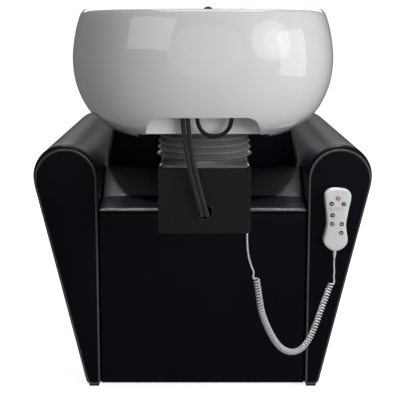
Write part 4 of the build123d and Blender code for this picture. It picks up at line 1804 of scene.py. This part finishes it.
# ---------------------------------------------------------------- basin
@dataclass
class Basin:
    """The ceramic basin, the bellows under it and the soft rest for the neck."""

    finishes: Finishes
    y_mid: float = -0.420
    depth_ratio: float = 0.9168
    power: float = 2.25
    points: int = 128
    skirt: tuple[tuple[float, float], ...] = (
        (0.6620, 0.138), (0.6645, 0.158), (0.6690, 0.1765), (0.6765, 0.195), (0.6910, 0.219), (0.7100, 0.242),
        (0.7400, 0.2625), (0.783, 0.2785),
        (0.835, 0.2836), (0.887, 0.277), (0.921, 0.2675), (0.931, 0.2620))
    bellows_at: tuple[float, float] = (0.003, -0.420)
    bellows_ribs: tuple[tuple[float, float], ...] = (
        (0.668, 0.0995), (0.654, 0.1014), (0.640, 0.1036), (0.626, 0.1061))
    rib_depth: float = 0.009
    rib_slope: float = 0.055

    def build(self) -> None:
        """Make the basin and what belongs to its looks."""
        self._ceramic()
        self._neck_rest()
        self._bellows()
        LOG.info("basin, neck rest and bellows")

    def _profile(self) -> list[tuple[float, float, float, float, float]]:
        """Half width, half depth, middle, height and power of each ring, from underneath and round into the bowl.

        Returns:
            The rings' sizes.
        """
        rows = []
        for z, a in smooth_levels(self.skirt, 4):
            blend = min(1.0, max(0.0, (z - 0.662) / 0.03))
            rows.append((a, a * self.depth_ratio, self.y_mid, z, 2.0 + (self.power - 2.0) * blend))
        y, p = self.y_mid, self.power
        rim = [(0.2585, 0.2365, y, 0.9345, p), (0.2545, 0.2325, y, 0.9362, p), (0.2495, 0.2275, y, 0.9365, p),
               (0.2450, 0.2232, y, 0.9350, p), (0.2415, 0.2200, y, 0.9315, p), (0.2395, 0.2180, y, 0.9250, p),
               (0.2380, 0.2166, y, 0.9130, p), (0.2370, 0.2156, y, 0.9020, p), (0.2358, 0.2145, y, 0.8985, p),
               (0.2340, 0.2125, y + 0.001, 0.8965, p), (0.2325, 0.2040, y + 0.006, 0.8958, p),
               (0.2315, 0.1930, y + 0.016, 0.8953, p), (0.2305, 0.1810, y + 0.0275, 0.8949, p)]
        bowl = [(0.2295, 0.1775, -0.3915, 0.8940, p), (0.2270, 0.1750, -0.3918, 0.8900, p),
                (0.2240, 0.1725, -0.3925, 0.8800, p), (0.2180, 0.1680, -0.3930, 0.8500, p),
                (0.1950, 0.1502, -0.3980, 0.8150, p), (0.1550, 0.1194, -0.4050, 0.7850, p),
                (0.0960, 0.0740, -0.4150, 0.7640, p), (0.0520, 0.0430, -0.4200, 0.7585, 2.1),
                (0.0340, 0.0340, -0.4200, 0.7572, 2.0)]
        rows += rim + smooth_levels(bowl, 4)
        under = [(0.0185, 0.7560), (0.0180, 0.7500), (0.0180, 0.7420), (0.060, 0.7420), (0.110, 0.7420),
                 (0.1110, 0.7400), (0.1110, 0.7100), (0.1110, 0.6660), (0.1120, 0.6630), (0.1150, 0.6612),
                 (0.1200, 0.6605), (0.1300, 0.6607)]
        rows += [(r, r, self.y_mid, z, 2.0) for r, z in under]
        return rows

    def _ceramic(self) -> None:
        """The basin in one skin, with its neck notch, its rear arch and its deck holes."""
        rings = [super_ring(a, b, y, z, p, self.points) for a, b, y, z, p in self._profile()]
        basin = loft("ceramic_basin", rings, ring_closed=True)
        notch = [(-0.100, 0.950), (-0.092, 0.905)]
        notch += [(0.1285 * math.sin(math.radians(a)), 0.9965 - 0.1285 * math.cos(math.radians(a)))
                  for a in range(-42, 43, 4)]
        notch += [(0.092, 0.905), (0.100, 0.950)]
        cut(basin, prism("notch_room", Axis.Y, -0.240, -0.130, notch))
        arch = rounded([(-0.127, 0.650, 0.001), (0.127, 0.650, 0.001), (0.110, 0.7205, 0.034),
                        (-0.110, 0.7205, 0.034)])
        cut(basin, prism("arch_room", Axis.Y, -0.700, -0.545, arch))
        below = [(-0.700, 0.640), (-0.405, 0.640), (-0.405, 0.6602), (-0.545, 0.6772), (-0.700, 0.6772)]
        cut(basin, prism("arch_floor", Axis.X, -0.140, 0.140, below))
        cut(basin, brick("hose_room", (-0.075, -0.592, 0.700), (0.085, -0.548, 0.764)))
        for at, radius in (((0.010, -0.606), 0.0175), ((0.097, -0.590), 0.0142)):
            cut(basin, lathe("deck_hole", at, [(radius, 0.86), (radius, 0.91)], 48))
        modify(basin, "BEVEL", width=0.0026, segments=3, limit_method="ANGLE", angle_limit=math.radians(38.0))
        smooth(basin, 42.0)
        self.finishes.dress(basin, Slot.CERAMIC, "basin", "basin_bowl", "basin_skirt")

    def _neck_rest(self) -> None:
        """The gel saddle in the notch."""
        outer = [(0.140 * math.sin(math.radians(a)), 0.9970 - 0.140 * math.cos(math.radians(a)))
                 for a in range(-44, 45, 4)]
        inner = [(0.1283 * math.sin(math.radians(a)), 1.0083 - 0.1283 * math.cos(math.radians(a)))
                 for a in range(38, -39, -4)]
        outline = [(-0.0965, 0.936), (-0.0915, 0.912), *outer, (0.0915, 0.912), (0.0965, 0.936), (0.0935, 0.9395),
                   (0.0885, 0.936), (0.0825, 0.912), *inner, (-0.0825, 0.912), (-0.0885, 0.936), (-0.0935, 0.9395)]
        rest = prism("neck_saddle", Axis.Y, -0.200, -0.156, outline, 0.0035)
        smooth(rest, 60.0)
        self.finishes.dress(rest, Slot.GEL, "basin", "neck_rest")

    def _bellows(self) -> None:
        """The ribbed sleeve and the base that it stands in."""
        profile = [(0.092, 0.690), (0.0955, 0.690), (0.0965, 0.686), (0.0945, 0.679)]
        heights = [z for z, _ in self.bellows_ribs]
        for z, radius in self.bellows_ribs:
            for inward, height in ((1.0, 0.0070), (0.93, 0.0058), (0.55, 0.0028), (0.18, -0.0002), (0.04, -0.0020),
                                   (0.0, -0.0032), (0.03, -0.0044), (0.16, -0.0052), (0.6, -0.0058),
                                   (0.93, -0.0062)):
                profile.append((radius - self.rib_depth * inward, z + height))
        profile += [(0.0965, heights[-1] - 0.0085), (0.0950, 0.6150), (0.0920, 0.6150), (0.0900, 0.640),
                    (0.0905, 0.670)]
        rings = [circle_ring((*self.bellows_at, z), r, 96) for r, z in profile]
        rings = [[(px, py, pz + self.rib_slope * (py - self.bellows_at[1]) * min(1.0, max(0.0, (pz - 0.617) / 0.01)))
                  for px, py, pz in ring] for ring in rings]
        sleeve = smooth(loft("bellows_sleeve", rings, ring_closed=True), 70.0)
        sleeve.data.materials.append(self.finishes.get(Slot.BELLOWS_PLASTIC))
        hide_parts("bellows")
        x, y = self.bellows_at
        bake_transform(sleeve)
        levels = [(0.090, 2.0, 0.600), (0.0975, 9.0, 0.600), (0.0985, 9.0, 0.6012), (0.0985, 9.0, 0.6040),
                  (0.0975, 7.0, 0.6058), (0.0960, 4.0, 0.6085), (0.0955, 2.8, 0.6110), (0.0955, 2.2, 0.6140),
                  (0.0950, 2.0, 0.6162), (0.0925, 2.0, 0.6165), (0.0885, 2.0, 0.6160), (0.0880, 2.0, 0.6080)]
        rings = [[(x + px, py, z) for px, py, z in super_ring(half, half, y, z, power, 96)]
                 for half, power, z in levels]
        base = smooth(loft("bellows_foot", rings, ring_closed=True), 50.0)
        self.finishes.dress(base, Slot.BELLOWS_PLASTIC, "chair", "bellows_base")


# ---------------------------------------------------------------- handset
@dataclass
class Handset:
    """The corded handset with its buttons."""

    finishes: Finishes
    middle: tuple[float, float] = (0.3255, 0.433)
    turn: float = 2.0
    face: float = -0.246
    split: float = -0.235
    back: float = -0.224
    half_gap: float = 0.0002
    face_edge: float = 0.0055
    face_crown: float = 0.0012
    back_edge: float = 0.004
    seam: float = 0.0008
    half_outline: tuple[tuple[float, float], ...] = (
        (0.0780, 0.0), (0.0772, 0.0125), (0.0750, 0.0205), (0.0690, 0.0290), (0.0600, 0.0322), (0.0480, 0.0318),
        (0.0200, 0.0272), (-0.0090, 0.0240), (-0.0300, 0.0266), (-0.0440, 0.0295), (-0.0560, 0.0290),
        (-0.0650, 0.0240), (-0.0715, 0.0168), (-0.0762, 0.0080), (-0.0775, 0.0))
    button_r: float = 0.0052
    mark_height: float = 0.0024
    wedge_size: float = 0.0031
    dot_size: float = 0.0020
    power_dot_size: float = 0.0026
    plate_half: tuple[float, float] = (0.0195, 0.0044)
    plate_v: float = 0.029
    buttons: dict[str, tuple[float, float]] = field(default_factory=lambda: {
        "power": (0.0, 0.054), "tilt_up": (-0.0145, 0.040), "tilt_down": (0.0145, 0.040), "leg_up": (-0.0105, 0.012),
        "leg_down": (-0.0102, -0.0095), "memory": (0.0125, -0.009), "massage": (0.0125, -0.0305)})

    def placed(self, piece: bpy.types.Object) -> bpy.types.Object:
        """Turn a piece made about the origin, and move it to the handset's middle."""
        matrix = Matrix.Translation((self.middle[0], 0.0, self.middle[1]))
        return moved(piece, matrix @ Matrix.Rotation(math.radians(self.turn), 4, "Y"))

    def outline(self) -> Outline:
        """The handset's outline about its middle."""
        right = [(half, v) for v, half in smooth_levels(self.half_outline, 6)]
        return right + [(-x, v) for x, v in reversed(right[1:-1])]

    def build(self) -> None:
        """Make the shells, the buttons and the marks."""
        edge_of = self.outline()
        front = prism("handset_face", Axis.Y, self.face, self.split - self.half_gap,
                      self._eased(edge_of, self.face_edge), self.face_edge, (self.face_crown, 0.0))
        rear = prism("handset_rear", Axis.Y, self.split + self.half_gap, self.back,
                     self._eased(edge_of, self.back_edge), self.back_edge)
        self.placed(front)
        self.placed(rear)
        smooth(front, 50.0)
        smooth(rear, 50.0)
        self.finishes.dress(front, Slot.GREY_PLASTIC, "handset", "handset_front")
        self.finishes.dress(rear, Slot.GREY_PLASTIC, "handset", "handset_back")
        seam = self.placed(prism("handset_seam", Axis.Y, self.split - self.seam, self.split + self.seam,
                                 inset(edge_of, self.seam)))
        self.finishes.dress(seam, Slot.BUTTON_BLACK, "handset")
        for name, (u, v) in self.buttons.items():
            self._button(name, u, v)
        self._marks()
        LOG.info("handset")

    @staticmethod
    def _eased(outline: Outline, edge: float) -> Callable[[float], Outline]:
        """An outline whose rims shrink by an edge."""
        return lambda ease: inset(outline, edge * (1 - ease))

    def _turned(self, name: str, u: float, v: float, profile: Sequence[tuple[float, float]],
                count: int = 32, hollow: bool = False) -> bpy.types.Object:
        """A turned piece whose axis stands out of the face.

        Args:
            name: the piece's name.
            u: the axis's place across the face.
            v: its place up the face.
            profile: radius and height above the face of each ring.
            count: points round a ring.
            hollow: whether the profile closes on itself, as a rim does.

        Returns:
            The piece, in its place.
        """
        rings = [[(u + r * math.cos(math.tau * k / count), self.face - h, v + r * math.sin(math.tau * k / count))
                  for k in range(count)] for r, h in profile]
        return smooth(self.placed(loft(name, rings, ring_closed=hollow)), 50.0)

    def _button(self, name: str, u: float, v: float) -> None:
        """A domed button, and the ring round it.

        Args:
            name: the button's name.
            u: its place across the face.
            v: its place up the face.
        """
        r = self.button_r
        profile = [(r, -0.0050), (r, 0.0006), (r - 0.0003, 0.0012), (r - 0.0010, 0.0017), (r - 0.0022, 0.0020),
                   (r - 0.0036, 0.0021), (0.0004, 0.0021)]
        cap = self._turned(f"{name}_cap", u, v, profile)
        slot = Slot.BUTTON_RED if name == "power" else Slot.BUTTON_BLACK
        self.finishes.dress(cap, slot, f"{name}_button_body", f"{name}_button")
        self._mark(name, u, v)
        ring = [(r + 0.0003, -0.0006), (r + 0.0003, 0.0012), (r + 0.0006, 0.0015), (r + 0.0010, 0.0013),
                (r + 0.0013, 0.0008), (r + 0.0014, -0.0006)]
        rim = self._turned(f"{name}_rim", u, v, ring, hollow=True)
        self.finishes.dress(rim, Slot.GREY_PLASTIC, "handset")

    def _mark(self, name: str, u: float, v: float) -> None:
        """The raised mark on a button: a wedge that points up or down, or a dot.

        Args:
            name: the button's name.
            u: its place across the face.
            v: its place up the face.
        """
        height = self.mark_height
        start = math.pi / 2 if name.endswith("up") else -math.pi / 2
        count, size = (3, self.wedge_size) if name.endswith(("up", "down")) else (20, self.dot_size)
        if name == "power":
            size = self.power_dot_size
        rings = [[(u + share * size * math.cos(start + math.tau * k / count), self.face - above,
                   v + share * size * math.sin(start + math.tau * k / count)) for k in range(count)]
                 for share, above in ((1.0, 0.0016), (1.0, height), (0.8, height + 0.0002), (0.05, height + 0.0002))]
        mark = smooth(self.placed(loft(f"{name}_mark", rings)), 40.0)
        self.finishes.dress(mark, Slot.GREY_PLASTIC, f"{name}_button_body")

    def _marks(self) -> None:
        """The plain oval plate, and the lamps beside the buttons."""
        count = 40
        rings = []
        for share, height in ((1.0, -0.0004), (1.0, 0.0014), (0.97, 0.0018), (0.5, 0.0019), (0.05, 0.0019)):
            rings.append([(share * self.plate_half[0] * math.cos(math.tau * k / count), self.face - height,
                           self.plate_v + share * self.plate_half[1] * math.sin(math.tau * k / count))
                          for k in range(count)])
        plate = smooth(self.placed(loft("handset_plate", rings)), 50.0)
        self.finishes.dress(plate, Slot.CORD_GREY, "handset")
        for index, (u, v) in enumerate(((0.0, 0.0655), (0.0125, 0.013), (0.002, 0.001), (0.0125, -0.0195))):
            lamp = self._turned(f"lamp_{index}", u, v, [(0.0011, -0.0004), (0.0011, 0.0014), (0.0007, 0.0018),
                                                        (0.0001, 0.0019)], 16)
            self.finishes.dress(lamp, Slot.CERAMIC, "handset")


# ---------------------------------------------------------------- assembly
@dataclass
class CarriedNodes:
    """The machined and moulded nodes whose shape is right as it is."""

    finishes: Finishes

    def dress(self, frame: dict) -> None:
        """Give each carried node the finish of its slot.
        """
        slots = {row["node"]: row["material_slot"] for row in frame["record"]["subparts"]}
        for name, node in frame["nodes"].items():
            material = self.finishes.get(Slot(slots[name]))
            node.data.materials.clear()
            node.data.materials.append(material)


def main() -> None:
    """Build the scene."""
    logging.basicConfig(level=logging.INFO, format="%(name)s: %(message)s")
    bpy.context.scene.view_settings.view_transform = "Standard"
    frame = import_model()
    finishes = Finishes()
    CarriedNodes(finishes).dress(frame)
    Stage().build()
    Cords(finishes).build()
    Basin(finishes).build()
    Arms(finishes).build()
    ChairBody(finishes).build()
    Backrest(finishes).build()
    Seat(finishes).build()
    Handset(finishes).build()


if __name__ == "__main__":
    main()
